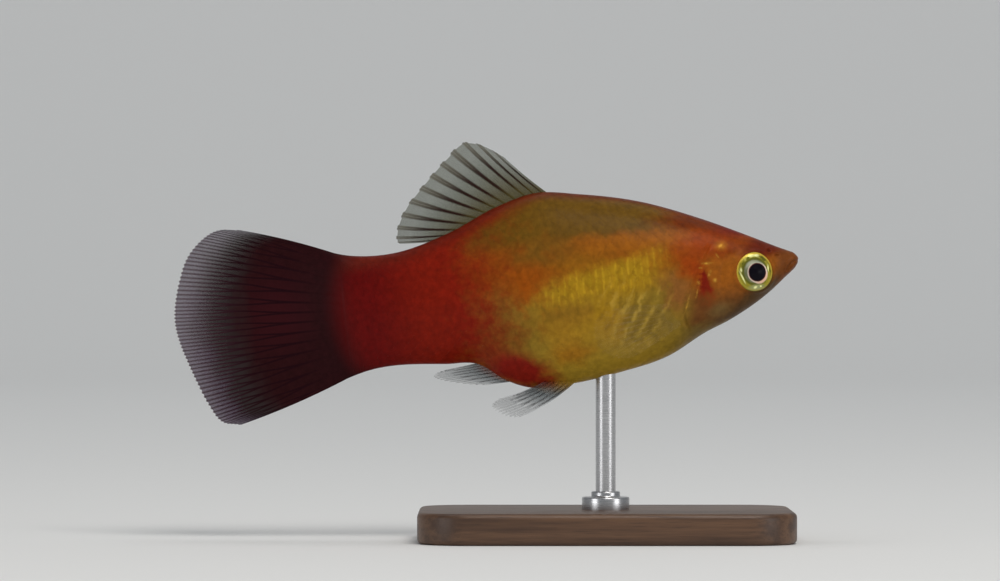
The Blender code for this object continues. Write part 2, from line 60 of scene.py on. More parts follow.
BACK_LINE = (
    (0.0, 0.35), (1.4, 1.02), (3.6, 2.18), (7.4, 4.08), (12.0, 5.98), (16.7, 7.14),
    (20.4, 7.66), (23.3, 7.0), (27.8, 5.22), (32.4, 4.22), (35.6, 4.46), (38.7, 5.5),
)
BELLY_LINE = (
    (0.0, -0.5), (0.8, -1.08), (2.6, -2.42), (6.0, -4.25), (8.0, -5.0), (11.1, -6.5), (15.2, -7.38),
    (19.5, -7.84), (22.8, -7.66), (24.4, -6.9), (26.2, -5.5), (29.0, -5.08), (35.0, -4.84), (38.4, -5.71),
)
HALF_WIDTH = (
    (0.0, 0.85), (1.5, 1.5), (3.6, 2.3), (6.5, 2.95), (10.0, 3.35), (15.0, 3.55), (20.0, 3.35),
    (25.0, 2.6), (30.0, 1.95), (34.0, 1.45), (37.0, 1.0), (40.0, 0.6),
)
WIDEST_LEVEL = (
    (0.0, -0.05), (3.6, -0.45), (9.0, -0.8), (16.0, -1.3), (24.0, -0.5), (32.0, -0.3), (40.0, -0.2),
)
BACK_FULLNESS = ((0.0, 2.3), (4.0, 2.6), (9.0, 2.3), (18.0, 1.95), (28.0, 1.9), (40.0, 2.0))
BELLY_FULLNESS = ((0.0, 2.2), (4.0, 2.4), (9.0, 2.2), (17.0, 2.15), (24.5, 1.75), (30.0, 1.9), (40.0, 2.0))
NOSE_RADIUS = 0.45
SKIN_END = 37.25
TAPER_START = 36.4
SKIN_SIDES = 224

EYE_PLACE = (3.71, -0.65)
EYE_RADIUS = 1.42
BALL_RADIUS = 1.58
PUPIL_PLACE = (3.55, -0.74)
GILL_EDGE = (
    (6.75, 2.1), (7.35, 1.2), (7.85, 0.3), (8.5, -0.75), (9.1, -1.95), (9.55, -3.01), (9.6, -3.9),
    (9.3, -4.75), (8.6, -5.35), (7.6, -5.6),
)
CHEEK_GROOVE = ((5.6, 0.9), (6.1, 0.2), (6.4, -0.8), (6.45, -1.9), (6.25, -2.9), (5.7, -3.7), (4.8, -3.9))
MOUTH = ((-0.5, -0.14), (0.4, -0.2), (0.75, -0.42), (1.05, -0.8))
NOSTRILS = ((1.72, 0.42), (2.3, 0.88))


def curve(points):
    """A smooth line through (s, value) points, which reads an array of s."""
    at, value = (np.array(column, float) for column in zip(*points))
    slope = np.gradient(value, at)

    def read(s):
        i = np.clip(np.searchsorted(at, s) - 1, 0, len(at) - 2)
        span = at[i + 1] - at[i]
        t = (s - at[i]) / span
        start = (1 + 2 * t) * value[i] + t * span * slope[i]
        end = (3 - 2 * t) * value[i + 1] - (1 - t) * span * slope[i + 1]
        return (1 - t) ** 2 * start + t * t * end

    return read


back, belly, half_width = curve(BACK_LINE), curve(BELLY_LINE), curve(HALF_WIDTH)
widest_level = curve(WIDEST_LEVEL)
back_fullness, belly_fullness = curve(BACK_FULLNESS), curve(BELLY_FULLNESS)


def ease(x, low, high):
    """0 below low and 1 above high, with a smooth step between, also where high is under low."""
    t = np.clip((x - low) / (high - low), 0, 1)
    return t * t * (3 - 2 * t)


def section(s, is_upper):
    """How round the nose still is at s, the widest level, and the rise and fullness above or below it."""
    rounding = np.sqrt(np.clip(1 - np.clip(1 - s / NOSE_RADIUS, 0, 1) ** 2, 1e-4, 1))
    level = widest_level(s)
    rise = np.where(is_upper(level), back(s) - level, level - belly(s)) * rounding
    return rounding, level, rise, np.where(is_upper(level), back_fullness(s), belly_fullness(s))


def bare_skin(s, turn):
    """Points (s, y, h) of the body's smooth shape, turn running from its left side over the back."""
    ends = np.clip((s - TAPER_START) / (SKIN_END + 0.05 - TAPER_START), 0, 1)
    thin = np.sqrt(1 - ends**2) * 0.9 + 0.1
    across, up = np.cos(turn), np.sin(turn)
    rounding, level, rise, fullness = section(s, lambda level: up > 0)
    y = half_width(s) * rounding * thin * np.sign(across) * np.abs(across) ** (2 / fullness)
    h = level + rise * np.sign(up) * np.abs(up) ** (2 / fullness)
    return np.stack((s, y, h), axis=-1)


def skin_width(s, h):
    """How far the smooth shape stands from the middle plane at s and h."""
    s, h = np.asarray(s, float), np.asarray(h, float)
    rounding, level, rise, fullness = section(s, lambda level: h > level)
    share = np.clip(np.abs(h - level) / rise, 0, 1)
    return half_width(s) * rounding * (1 - share**fullness) ** (1 / fullness)


def from_line(points, s, h):
    """Distance of each place from a line of (s, h) points, more than 0 on the line's left as it runs."""
    nearest = np.full(np.shape(s), 1e9)
    signed = np.full(np.shape(s), 1e9)
    for (s0, h0), (s1, h1) in zip(points, points[1:]):
        ds, dh = s1 - s0, h1 - h0
        share = np.clip(((s - s0) * ds + (h - h0) * dh) / (ds * ds + dh * dh), 0, 1)
        gap = np.hypot(s - s0 - share * ds, h - h0 - share * dh)
        left = np.sign(ds * (h - h0) - dh * (s - s0))
        signed = np.where(gap < nearest, gap * left, signed)
        nearest = np.minimum(gap, nearest)
    return signed


def relief(s, h):
    """How far the finished skin stands above the smooth shape, in millimetres."""
    eye = np.hypot(s - EYE_PLACE[0], h - EYE_PLACE[1])
    socket = -0.75 * ease(eye, EYE_RADIUS + 0.03, EYE_RADIUS - 0.42)
    orbit = 0.15 * np.exp(-(((eye - EYE_RADIUS - 0.14) / 0.22) ** 2))
    behind = from_line(GILL_EDGE, s, h)
    cover = 0.08 * ease(behind, -1.6, -0.12) * ease(behind, 0.03, -0.03)
    slit = -0.06 * ease(behind, -0.02, 0.05) * ease(behind, 0.4, 0.1)
    shown = ease(h, 2.2, 1.4) * ease(s, 5.2, 6.8) * ease(h, belly(s) + 0.5, belly(s) + 2.0)
    groove = np.abs(from_line(CHEEK_GROOVE, s, h))
    cheek = -0.05 * np.exp(-((groove / 0.18) ** 2)) * ease(h, belly(s) + 0.3, belly(s) + 1.2)
    mouth = from_line(MOUTH, s, h)
    near_mouth = ease(s, 1.5, 1.15) * (0.25 + 0.75 * ease(s, 0.1, 0.5))
    lips = 0.06 * np.exp(-(((np.abs(mouth) - 0.2) / 0.14) ** 2)) - 0.10 * np.exp(-((mouth / 0.08) ** 2))
    noses = 0.0
    for place in NOSTRILS:
        off = np.hypot((s - place[0]) / 1.2, h - place[1])
        noses = noses - 0.16 * ease(off, 0.14, 0.05) + 0.03 * np.exp(-(((off - 0.23) / 0.08) ** 2))
    return socket + orbit + (cover + slit) * shown + cheek + lips * near_mouth + noses


def skin_points(s, turn, lift=0.0):
    """Points (s, y, h) of the finished skin, or lift above it, square to the surface."""
    s, turn = np.broadcast_arrays(np.asarray(s, float), np.asarray(turn, float))
    step = 0.02
    ahead = bare_skin(s + step, turn) - bare_skin(np.maximum(s - step, 0.0), turn)
    round_it = bare_skin(s, turn + step) - bare_skin(s, turn - step)
    normal = np.cross(round_it, ahead)
    normal /= np.maximum(np.linalg.norm(normal, axis=-1, keepdims=True), 1e-12)
    flat = bare_skin(s, turn)
    out = np.sum(normal * np.stack((np.zeros_like(s), np.cos(turn), np.sin(turn)), axis=-1), axis=-1)
    normal *= np.where(out < 0, -1.0, 1.0)[..., None]
    return flat + normal * (relief(flat[..., 0], flat[..., 2]) + lift)[..., None]


rod_low, rod_high = (Vector(corner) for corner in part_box("stand_rod"))
rod_x, rod_y = (rod_low.x + rod_high.x) / 2, (rod_low.y + rod_high.y) / 2
SNOUT_X = rod_x + (ROD_PLACE[0] * math.cos(NOSE_UP) + ROD_PLACE[1] * math.sin(NOSE_UP)) * MM
SNOUT_Y = rod_y - SWING_REACH * ((ROD_PLACE[0] - SWING_START) / SWING_LENGTH) ** 2 * MM
SNOUT_Z = 22.6 * MM


def posed(points):
    """Straight fish points, in millimetres, as places in the room, in metres."""
    s, y, h = (points[..., i] for i in range(3))
    y = y + SWING_REACH * np.clip((s - SWING_START) / SWING_LENGTH, 0, None) ** 2
    x = SNOUT_X - (s * math.cos(NOSE_UP) + h * math.sin(NOSE_UP)) * MM
    z = SNOUT_Z + (h * math.cos(NOSE_UP) - s * math.sin(NOSE_UP)) * MM
    return np.stack((x, SNOUT_Y + y * MM, z), axis=-1)


def start_shape(name):
    """Names the primitive that was just added, and moves its place, turn and size into its mesh."""
    piece = bpy.context.object
    piece.name = piece.data.name = name
    bpy.ops.object.transform_apply()
    return piece


def store(piece, name, kind, values):
    """Keeps a value for each vertex as an attribute of the mesh."""
    layer = piece.data.attributes.new(name, kind, "POINT")
    layer.data.foreach_set("vector" if kind == "FLOAT_VECTOR" else "value", values.astype(np.float32).ravel())


def read_points(piece):
    """The places of the mesh's vertices, in millimetres."""
    places = np.empty(len(piece.data.vertices) * 3, np.float32)
    piece.data.vertices.foreach_get("co", places)
    return places.reshape(-1, 3) / MM


def edit():
    bpy.ops.object.mode_set(mode="EDIT")
    bpy.ops.mesh.select_all(action="SELECT")


def finish_edit():
    bpy.ops.object.mode_set(mode="OBJECT")


def select_where(piece, kind, test):
    """Selects only the edges or faces that pass the test, in their own select mode."""
    bpy.ops.mesh.select_all(action="DESELECT")
    bpy.context.tool_settings.mesh_select_mode = (False, kind == "edges", kind == "faces")
    work = bmesh.from_edit_mesh(piece.data)
    for element in getattr(work, kind):
        element.select_set(bool(test(element)))
    bmesh.update_edit_mesh(piece.data)


def set_points(piece, points):
    """Gives the mesh its straight fish points, poses it, and keeps the straight place as an attribute."""
    store(piece, "rest", "FLOAT_VECTOR", points)
    piece.data.vertices.foreach_set("co", posed(points).astype(np.float32).ravel())
    piece.data.update()


def finish_piece(piece, node_names, material, smooth=60):
    """Turns faces outwards, shades the piece and ties it to the frame."""
    bpy.ops.object.select_all(action="DESELECT")
    piece.select_set(True)
    bpy.context.view_layer.objects.active = piece
    edit()
    bpy.ops.mesh.normals_make_consistent(inside=False)
    finish_edit()
    bpy.ops.object.shade_smooth_by_angle(angle=math.radians(smooth))
    piece.data.materials.clear()
    piece.data.materials.append(material)
    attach(piece, "root")
    if node_names:
        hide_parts(*node_names)


nose_rings = 0.45 * (1 - np.cos(np.linspace(0.05, math.pi / 2, 12)))
head_rings = np.arange(0.5, 10.6, 0.08)
body_rings = np.arange(10.8, SKIN_END, 0.25)
tail_rings = np.array((SKIN_END - 0.02, SKIN_END))
skin_rings = np.concatenate((nose_rings, head_rings, body_rings, tail_rings))
bpy.ops.mesh.primitive_circle_add(vertices=SKIN_SIDES, radius=MM, rotation=(0, math.pi / 2, 0))
skin = start_shape("skin")
edit()
for _ in skin_rings[1:]:
    bpy.ops.mesh.extrude_edges_move(TRANSFORM_OT_translate={"value": (-0.1 * MM, 0, 0)})
finish_edit()
laid = read_points(skin)
ring_of = np.rint(laid[:, 0] / -0.1).astype(int)
set_points(skin, skin_points(skin_rings[ring_of], np.arctan2(laid[:, 2], laid[:, 1])))
edit()
select_where(skin, "edges", lambda edge: edge.is_boundary)
bpy.ops.mesh.edge_face_add()
finish_edit()


# The skin's paint. The colours are a few broad fields laid over each other with soft, mottled borders:
# olive back, orange and gold flank, pale belly, red rear, black-red root of the tail, and a brown head with
# its red gill notch and gold glints. The skin, its scales and the fins' roots share it as one node group.

FLANK = (0.270, 0.070, 0.005)
FLANK_SPOT = (0.310, 0.070, 0.004)
BACK_OLIVE = (0.136, 0.067, 0.006)
FLANK_OLIVE = (0.175, 0.078, 0.008)
ORANGE = (0.300, 0.094, 0.006)
ORANGE_FRONT = (0.300, 0.072, 0.005)
ORANGE_REAR = (0.270, 0.125, 0.008)
GOLD = (0.350, 0.190, 0.010)
BRIGHT_GOLD = (0.560, 0.350, 0.018)
UNDER_GOLD = (0.205, 0.104, 0.010)
SHOULDER_GREY = (0.240, 0.092, 0.019)
BELLY_GOLD = (0.240, 0.150, 0.017)
BELLY_DEEP_GOLD = (0.350, 0.180, 0.013)
BELLY_LOW = (0.370, 0.230, 0.022)
BELLY_BRIGHT = (0.340, 0.205, 0.015)
ORANGE_SPOT = (0.340, 0.150, 0.010)
RED = (0.200, 0.010, 0.003)
RUMP_RED = (0.230, 0.013, 0.007)
DEEP_RED = (0.118, 0.0035, 0.003)
BLACK_RED = (0.022, 0.004, 0.005)
CROWN = (0.145, 0.008, 0.006)
FOREHEAD = (0.125, 0.016, 0.005)
BROW = (0.215, 0.040, 0.004)
SNOUT = (0.165, 0.048, 0.010)
CHEEK = (0.300, 0.088, 0.008)
CHEEK_LOW = (0.155, 0.056, 0.013)
CHIN = (0.085, 0.042, 0.013)
THROAT = (0.170, 0.105, 0.022)
TEMPLE = (0.305, 0.048, 0.004)
NAPE = (0.145, 0.026, 0.003)
RIDGE_RED = (0.120, 0.012, 0.005)
BEHIND_GILL = (0.290, 0.044, 0.004)
GILL_RED = (0.178, 0.0085, 0.003)
GILL_SHEEN = (0.165, 0.092, 0.028)
GILL_SHADE = (0.130, 0.042, 0.009)
GLINT = (0.560, 0.300, 0.040)
PALE_STREAK = (0.520, 0.330, 0.050)
STREAK_SHADE = (0.135, 0.070, 0.008)
TEMPLE_GLOW = (0.380, 0.130, 0.010)
SPECULAR = 0.05
WET_COAT = 0.015
TICK_STEP = 0.52
STREAK_STEP = 1.15
GILL_NOTCH = 7.74
GLINTS = (
    ((7.28, -0.38), (0.22, 0.42), -0.5), ((6.92, -0.98), (0.26, 0.26), 0.0), ((8.26, -1.0), (0.2, 0.42), 0.0),
    ((7.4, 0.45), (0.6, 0.16), 0.8), ((6.1, 1.66), (0.34, 0.26), 0.0), ((9.35, -2.6), (0.14, 0.9), -0.4),
    ((6.5, 0.95), (0.14, 0.3), 0.5), ((8.5, -1.9), (0.12, 0.5), -0.3), ((8.0, 0.15), (0.26, 0.12), 0.6),
)


def feed(socket, value):
    """Wires the value to the socket if it is a socket itself, or sets it."""
    if isinstance(value, bpy.types.NodeSocket):
        socket.id_data.links.new(value, socket)
    elif value is not None:
        socket.default_value = value


def node(kind, *values, **settings):
    """Adds a shader node beside its wires, with its settings and first inputs. Gives its first output."""
    tree = next(value.id_data for value in values if isinstance(value, bpy.types.NodeSocket))
    made = tree.nodes.new("ShaderNode" + kind)
    for name, value in settings.items():
        setattr(made, name, value)
    for socket, value in zip(made.inputs, values):
        feed(socket, value)
    return made.outputs[0]


def maths(operation, *values):
    return node("Math", *values, operation=operation)


def tilt(value, other, middle, slope):
    """The value, plus slope for each unit that the other lies past the middle."""
    return maths("ADD", value, maths("MULTIPLY", maths("SUBTRACT", other, middle), slope))


def fade(value, low, high):
    """0 below low and 1 above high, with a smooth step between."""
    if low < high:
        return node("MapRange", value, low, high, 0.0, 1.0, interpolation_type="SMOOTHSTEP")
    return node("MapRange", value, high, low, 1.0, 0.0, interpolation_type="SMOOTHSTEP")


def both(*masks):
    """The product of the masks. One given as (value, low, high) is a fade."""
    masks = [fade(*mask) if isinstance(mask, tuple) else mask for mask in masks]
    result = masks[0]
    for mask in masks[1:]:
        result = maths("MULTIPLY", result, mask)
    return result


def paint(under, over, share):
    """Lays a colour over another where share is 1."""
    made = share.id_data.nodes.new("ShaderNodeMix")
    made.data_type = "RGBA"
    for socket, value in zip((made.inputs[0], *made.inputs[6:8]), (share, under, over)):
        feed(socket, (*value, 1.0) if isinstance(value, tuple) else value)
    return made.outputs[2]


def spot(s, h, centre, reach, soft=0.6, lean=0.0, share=1.0):
    """share in an oval round centre and 0 beyond reach. lean slants it, in s for each unit of h."""
    ds = maths("SUBTRACT", s, centre[0])
    dh = maths("SUBTRACT", h, centre[1])
    if lean:
        ds = maths("SUBTRACT", ds, both(dh, lean))
    ds = maths("POWER", maths("DIVIDE", ds, reach[0]), 2.0)
    dh = maths("POWER", maths("DIVIDE", dh, reach[1]), 2.0)
    mask = fade(maths("SQRT", maths("ADD", ds, dh)), 1.0, 1.0 - soft)
    return mask if share == 1.0 else both(mask, share)


def coats(colour, *layers):
    """Lays colours over each other, each given with its share or with the fade that is its share."""
    for over, share in layers:
        colour = paint(colour, over, both(share))
    return colour


def lay(colour, s, h, *ovals):
    """Lays soft ovals over a colour, each given as its colour and what spot says of it."""
    for over, *oval in ovals:
        colour = paint(colour, over, spot(s, h, *oval))
    return colour


def parts(vector):
    """The three numbers of a vector."""
    cut = vector.id_data.nodes.new("ShaderNodeSeparateXYZ")
    feed(cut.inputs[0], vector)
    return cut.outputs


def noise(place, scale, detail=3.0, roughness=0.55, stretch=(1, 1, 1)):
    spread = node("VectorMath", place, stretch, operation="MULTIPLY")
    return node("TexNoise", spread, None, scale, detail, roughness)


markings = bpy.data.node_groups.new("platy markings", "ShaderNodeTree")
markings.interface.new_socket("Place", in_out="INPUT", socket_type="NodeSocketVector")
for name, kind in (("Color", "Color"), ("Glint", "Float"), ("Net", "Float"), ("Ticks", "Float")):
    markings.interface.new_socket(name, in_out="OUTPUT", socket_type="NodeSocket" + kind)
place = markings.nodes.new("NodeGroupInput").outputs["Place"]
true_s, true_y, true_h = parts(place)

patchy = noise(place, 0.45, 4.0, 0.6)
blotchy = noise(node("VectorMath", place, (31.0, 7.0, 13.0), operation="ADD"), 0.9, 4.0, 0.65)
s = tilt(true_s, patchy, 0.5, 4.0)
h = tilt(true_h, blotchy, 0.5, 1.3)

colour = paint(FLANK, BELLY_GOLD, fade(h, 1.4, -1.6))
colour = lay(colour, s, h, (BELLY_DEEP_GOLD, (18.5, -3.2), (5.0, 3.4), 0.8))
colour = coats(
    colour,
    (BELLY_LOW, both((h, -3.6, -7.0), (s, 8.5, 14.5))),
    (BACK_OLIVE, both((h, 2.6, 4.2), (s, 7.5, 11.5))),
)
band = tilt(h, true_s, 12.0, -0.06)
colour = lay(colour, s, band, (ORANGE, (13.0, 2.7), (8.0, 1.15), 0.8))
colour = lay(
    colour, s, h,
    (ORANGE_FRONT, (10.1, 1.9), (2.2, 1.6), 0.9, 0.0, 0.6),
    (ORANGE_REAR, (17.6, 1.7), (4.6, 1.6), 0.9, 0.0, 0.6),
    (FLANK_OLIVE, (20.4, 2.9), (4.0, 1.7), 0.8),
    (UNDER_GOLD, (19.4, -2.0), (3.4, 2.0), 0.9, 0.0, 0.7),
    (BELLY_BRIGHT, (17.0, -4.1), (2.4, 2.0), 0.9, 0.0, 0.5),
)
grain = noise(place, 2.2, 3.0, 0.6)
rib = tilt(h, true_s, 12.0, 0.22)
along_rib = both((s, 9.8, 13.6), (s, 23.0, 18.5))
low_rib = tilt(h, true_s, 12.0, 0.08)
gold_band = both((rib, 2.7, 1.3), (low_rib, -1.6, 0.2), along_rib)
colour = paint(colour, GOLD, gold_band)
colour = lay(
    colour, s, h,
    (GOLD, (14.0, -0.2), (2.8, 2.3), 0.9),
    (GOLD, (15.9, -2.6), (1.7, 3.0), 0.9),
)
tick_count = maths("DIVIDE", tilt(true_s, patchy, 0.5, 0.6), TICK_STEP)
tick_wave = maths("SINE", both(tick_count, 2 * math.pi))
ticks = both((tick_wave, 0.1, 0.95), gold_band, (grain, 0.35, 0.6), 0.38)
colour = paint(colour, BRIGHT_GOLD, ticks)
colour = lay(colour, s, h, (SHOULDER_GREY, (10.3, -1.5), (1.6, 2.6), 0.8))
slant = maths("ADD", true_s, both(true_h, 0.6))
slant = tilt(slant, blotchy, 0.5, 1.6)
streak_wave = maths("SINE", both(slant, 2 * math.pi / STREAK_STEP))
streak_gaps = noise(place, 0.7, 2.0, 0.5)
streak_field = spot(true_s, true_h, (13.6, -2.8), (4.2, 4.0), 0.7)
streaks = both((streak_wave, 0.35, 0.98), (streak_gaps, 0.42, 0.6), streak_field, 0.5)
colour = lay(colour, s, h, (ORANGE_SPOT, (19.0, -5.4), (2.4, 1.5), 0.9))
troughs = both((streak_wave, -0.2, -0.95), streak_field, 0.3)
colour = coats(colour, (STREAK_SHADE, troughs), (PALE_STREAK, streaks))

reach = tilt(s, blotchy, 0.5, 5.0)
reach = maths("ADD", reach, spot(true_s, true_h, (24.2, -2.2), (4.8, 4.4), 0.9, share=1.6))
reach = maths("SUBTRACT", reach, both((true_h, 1.8, 4.0), 0.6))
mottled = spot(true_s, true_h, (22.0, 1.0), (5.0, 6.0))
mottled = both((blotchy, 0.42, 0.72), mottled, 0.45)
saddle = tilt(true_h, s, 23.0, 0.45)
saddle = both((saddle, 5.2, 7.2), (s, 18.6, 23.0), 0.75)
colour = coats(colour, (FLANK, mottled), (RED, (reach, 21.0, 28.4)), (RED, saddle))
colour = lay(colour, s, h, (FLANK_SPOT, (22.0, 0.3), (2.1, 2.2), 0.9))
rump = tilt(h, true_s, 22.0, -0.35)
colour = lay(colour, s, rump, (RUMP_RED, (23.2, -6.7), (4.3, 2.2), 0.7))
colour = paint(colour, DEEP_RED, fade(true_s, 29.0, 35.0))

head = maths("ADD", true_s, both(true_h, 0.25))
head = fade(head, 9.4, 7.6)
jaw = tilt(h, true_s, 2.6, 0.62)
face = coats(
    CHEEK,
    (CHEEK_LOW, (h, -0.8, -3.2)),
    (CHIN, (jaw, -0.5, -1.9)),
    (THROAT, (h, -4.0, -4.8)),
    (BROW, (h, 0.3, 1.5)),
    (SNOUT, (true_s, 2.4, 1.2)),
)
face = lay(
    face, true_s, true_h,
    (FOREHEAD, (2.5, 1.3), (2.6, 1.5), 0.7, -0.6),
    (CROWN, (5.8, 3.2), (3.4, 1.3), 0.7, 1.2),
)
colour = paint(colour, face, head)
colour = lay(
    colour, s, h,
    (NAPE, (8.2, 3.8), (3.6, 1.6), 0.8, 1.5),
    (BEHIND_GILL, (8.6, 0.2), (1.9, 2.4), 0.9),
    (TEMPLE, (7.6, 2.1), (3.6, 1.7), 0.95),
)
# The grey patch on the lower gill cover is a painted sheen.
colour = lay(
    colour, true_s, true_h,
    (TEMPLE_GLOW, (6.1, 1.7), (0.8, 0.6), 1.0),
    (GILL_SHEEN, (6.8, -3.4), (1.5, 1.0), 0.9, -0.5),
    (GILL_SHADE, (8.4, -2.25), (0.9, 1.2), 0.9, 0.0, 0.55),
)
notch_width = node("MapRange", true_h, -2.1, 0.0, 0.62, 0.16)
ragged = both(maths("SUBTRACT", grain, 0.5), 0.9)
notch = maths("ABSOLUTE", maths("SUBTRACT", maths("ADD", true_s, ragged), GILL_NOTCH))
notch = fade(maths("DIVIDE", notch, notch_width), 1.8, 0.4)
low_end = maths("ADD", true_h, ragged)
notch = both(notch, (low_end, 0.15, -0.35), (low_end, -2.5, -1.5), 0.95)
low_notch = spot(true_s, true_h, (7.75, -2.5), (0.95, 1.0), 0.9)
low_notch = both(low_notch, (grain, 0.2, 1.2))

glints = None
for centre, oval, lean in GLINTS:
    one = spot(true_s, true_h, centre, oval, 1.0, lean)
    glints = maths("MAXIMUM", glints, one) if glints else one
ridge = fade(maths("ABSOLUTE", true_y), 1.5, 0.5)
ridge = both(ridge, (true_h, 2.6, 3.8), 0.8)
tail_edge = tilt(true_s, grain, 0.5, 0.9)
tail_edge = maths("ADD", tail_edge, both(true_h, true_h, 0.055))
colour = coats(
    colour,
    (GILL_RED, notch),
    (GILL_RED, low_notch),
    (GLINT, both(glints, (grain, 0.25, 0.75))),
    (RIDGE_RED, ridge),
    (BLACK_RED, (tail_edge, 35.3, 38.5)),
)

speckle = node("MapRange", grain, 0.3, 0.7, 0.82, 1.18)
colour = node("VectorMath", colour, None, None, speckle, operation="SCALE")
net = both((true_h, 0.8, 3.0), (true_s, 30.0, 24.0), (true_s, 6, 8))
group_out = markings.nodes.new("NodeGroupOutput")
for name, value in (("Color", colour), ("Glint", glints), ("Net", net), ("Ticks", gold_band)):
    feed(group_out.inputs[name], value)


def new_material(name):
    made = bpy.data.materials.new(name)
    made.use_nodes = True
    return made, made.node_tree.nodes["Principled BSDF"]


def set_shader(shader, **values):
    """Sets or wires the shader's inputs, named with _ for each space."""
    for name, value in values.items():
        feed(shader.inputs[name.replace("_", " ")], value)


def source(shader, kind, **settings):
    """Adds a node without inputs beside the shader. Gives its outputs."""
    made = shader.id_data.nodes.new("ShaderNode" + kind)
    for name, value in settings.items():
        setattr(made, name, value)
    return made.outputs


def attribute(shader, name, output="Vector"):
    """What the mesh stores under the name."""
    return source(shader, "Attribute", attribute_name=name)[output]


def add_markings(place):
    """The paint of this place on the body, as a node group."""
    group = place.id_data.nodes.new("ShaderNodeGroup")
    group.node_tree = markings
    feed(group.inputs[0], place)
    return group.outputs


def add_bump(shader, height, strength, distance):
    bump = shader.id_data.nodes.new("ShaderNodeBump")
    bump.inputs["Strength"].default_value = strength
    bump.inputs["Distance"].default_value = distance
    feed(bump.inputs["Height"], height)
    feed(shader.inputs["Normal"], bump.outputs[0])


skin_paint, shader = new_material("wet skin")
rest_place = attribute(shader, "rest")
marked = add_markings(rest_place)
pores = noise(rest_place, 5.0, 4.0, 0.6)
set_shader(
    shader, Base_Color=marked["Color"], Metallic=both(marked["Glint"], 0.35),
    Roughness=node("MapRange", pores, 0.3, 0.7, 0.34, 0.5),
    Specular_IOR_Level=SPECULAR, Coat_Weight=WET_COAT, Coat_Roughness=0.18,
)
add_bump(shader, pores, 0.25, 0.03 * MM)
flesh = ("head", "jaw_lower", "gill_cover_right", "gill_cover_left", "trunk", "tail_stalk")
finish_piece(skin, flesh, skin_paint)


# The scales. Each is a thin solid plate with a rounded free edge, its front tucked under the row ahead of
# it. They lie in staggered rows from the gill cover to the root of the tail, smaller towards the tail, and
# follow the skin's own surface. Each side's scales are one joined mesh.

SCALE_LENGTH = ((6.0, 1.0), (11.0, 1.26), (17.0, 1.38), (24.0, 1.24), (30.0, 1.0), (37.0, 0.74))
SCALE_ROWS = 12
SCALE_OVERLAP = 1.55
SCALE_THICK = 0.04
LIFT_FRONT = -0.022
LIFT_REAR = 0.022
TUCK = 0.25
CELLS_LONG = 5
CELLS_WIDE = 6
PATCH = 0.003
SCALE_EDGE = (0.050, 0.022, 0.008)

rng = np.random.default_rng(7)
scale_length = curve(SCALE_LENGTH)
fine_turns = np.linspace(-math.pi / 2, math.pi / 2, 400)
girth = bare_skin(np.full(400, 18.0), fine_turns)
walked = np.concatenate(([0.0], np.cumsum(np.linalg.norm(np.diff(girth, axis=0), axis=1))))


def row_turn(row):
    """The turn of a scale row, counted from the belly's middle up one side to the back's."""
    return np.interp(np.asarray(row) / SCALE_ROWS * walked[-1], walked, fine_turns)


def scale_centres():
    """(s, level) for each scale of one side, from the gill cover back."""
    centres = []
    s, column = 6.4, 0
    while s < 36.3:
        for row in range(SCALE_ROWS + 1):
            level = row + 0.5 * (column % 2)
            if level > SCALE_ROWS - 0.05 or level < 0.3:
                continue
            h = bare_skin(np.array(s), row_turn(level))[2]
            edge = float(from_line(GILL_EDGE, np.array(s - 0.3), np.array(h)))
            if (h < 2.1 and (edge < 0.5 or s < 7.5)) or (h >= 2.1 and s < 7.0):
                continue
            centres.append((s, level))
        s += 0.5 * float(scale_length(s))
        column += 1
    return centres


along = np.linspace(0, 1, CELLS_LONG + 1)
rounded = np.sqrt(np.clip(1 - ((along - 0.5) / 0.5) ** 2 * 0.985, 0, 1))
widest = np.where(along > 0.5, rounded, 0.8 + 0.4 * along)
across = np.sin(np.linspace(-math.pi / 2, math.pi / 2, CELLS_WIDE + 1))
cell_u = np.repeat(along[:, None], CELLS_WIDE + 1, axis=1)
cell_w = widest[:, None] * across[None, :]


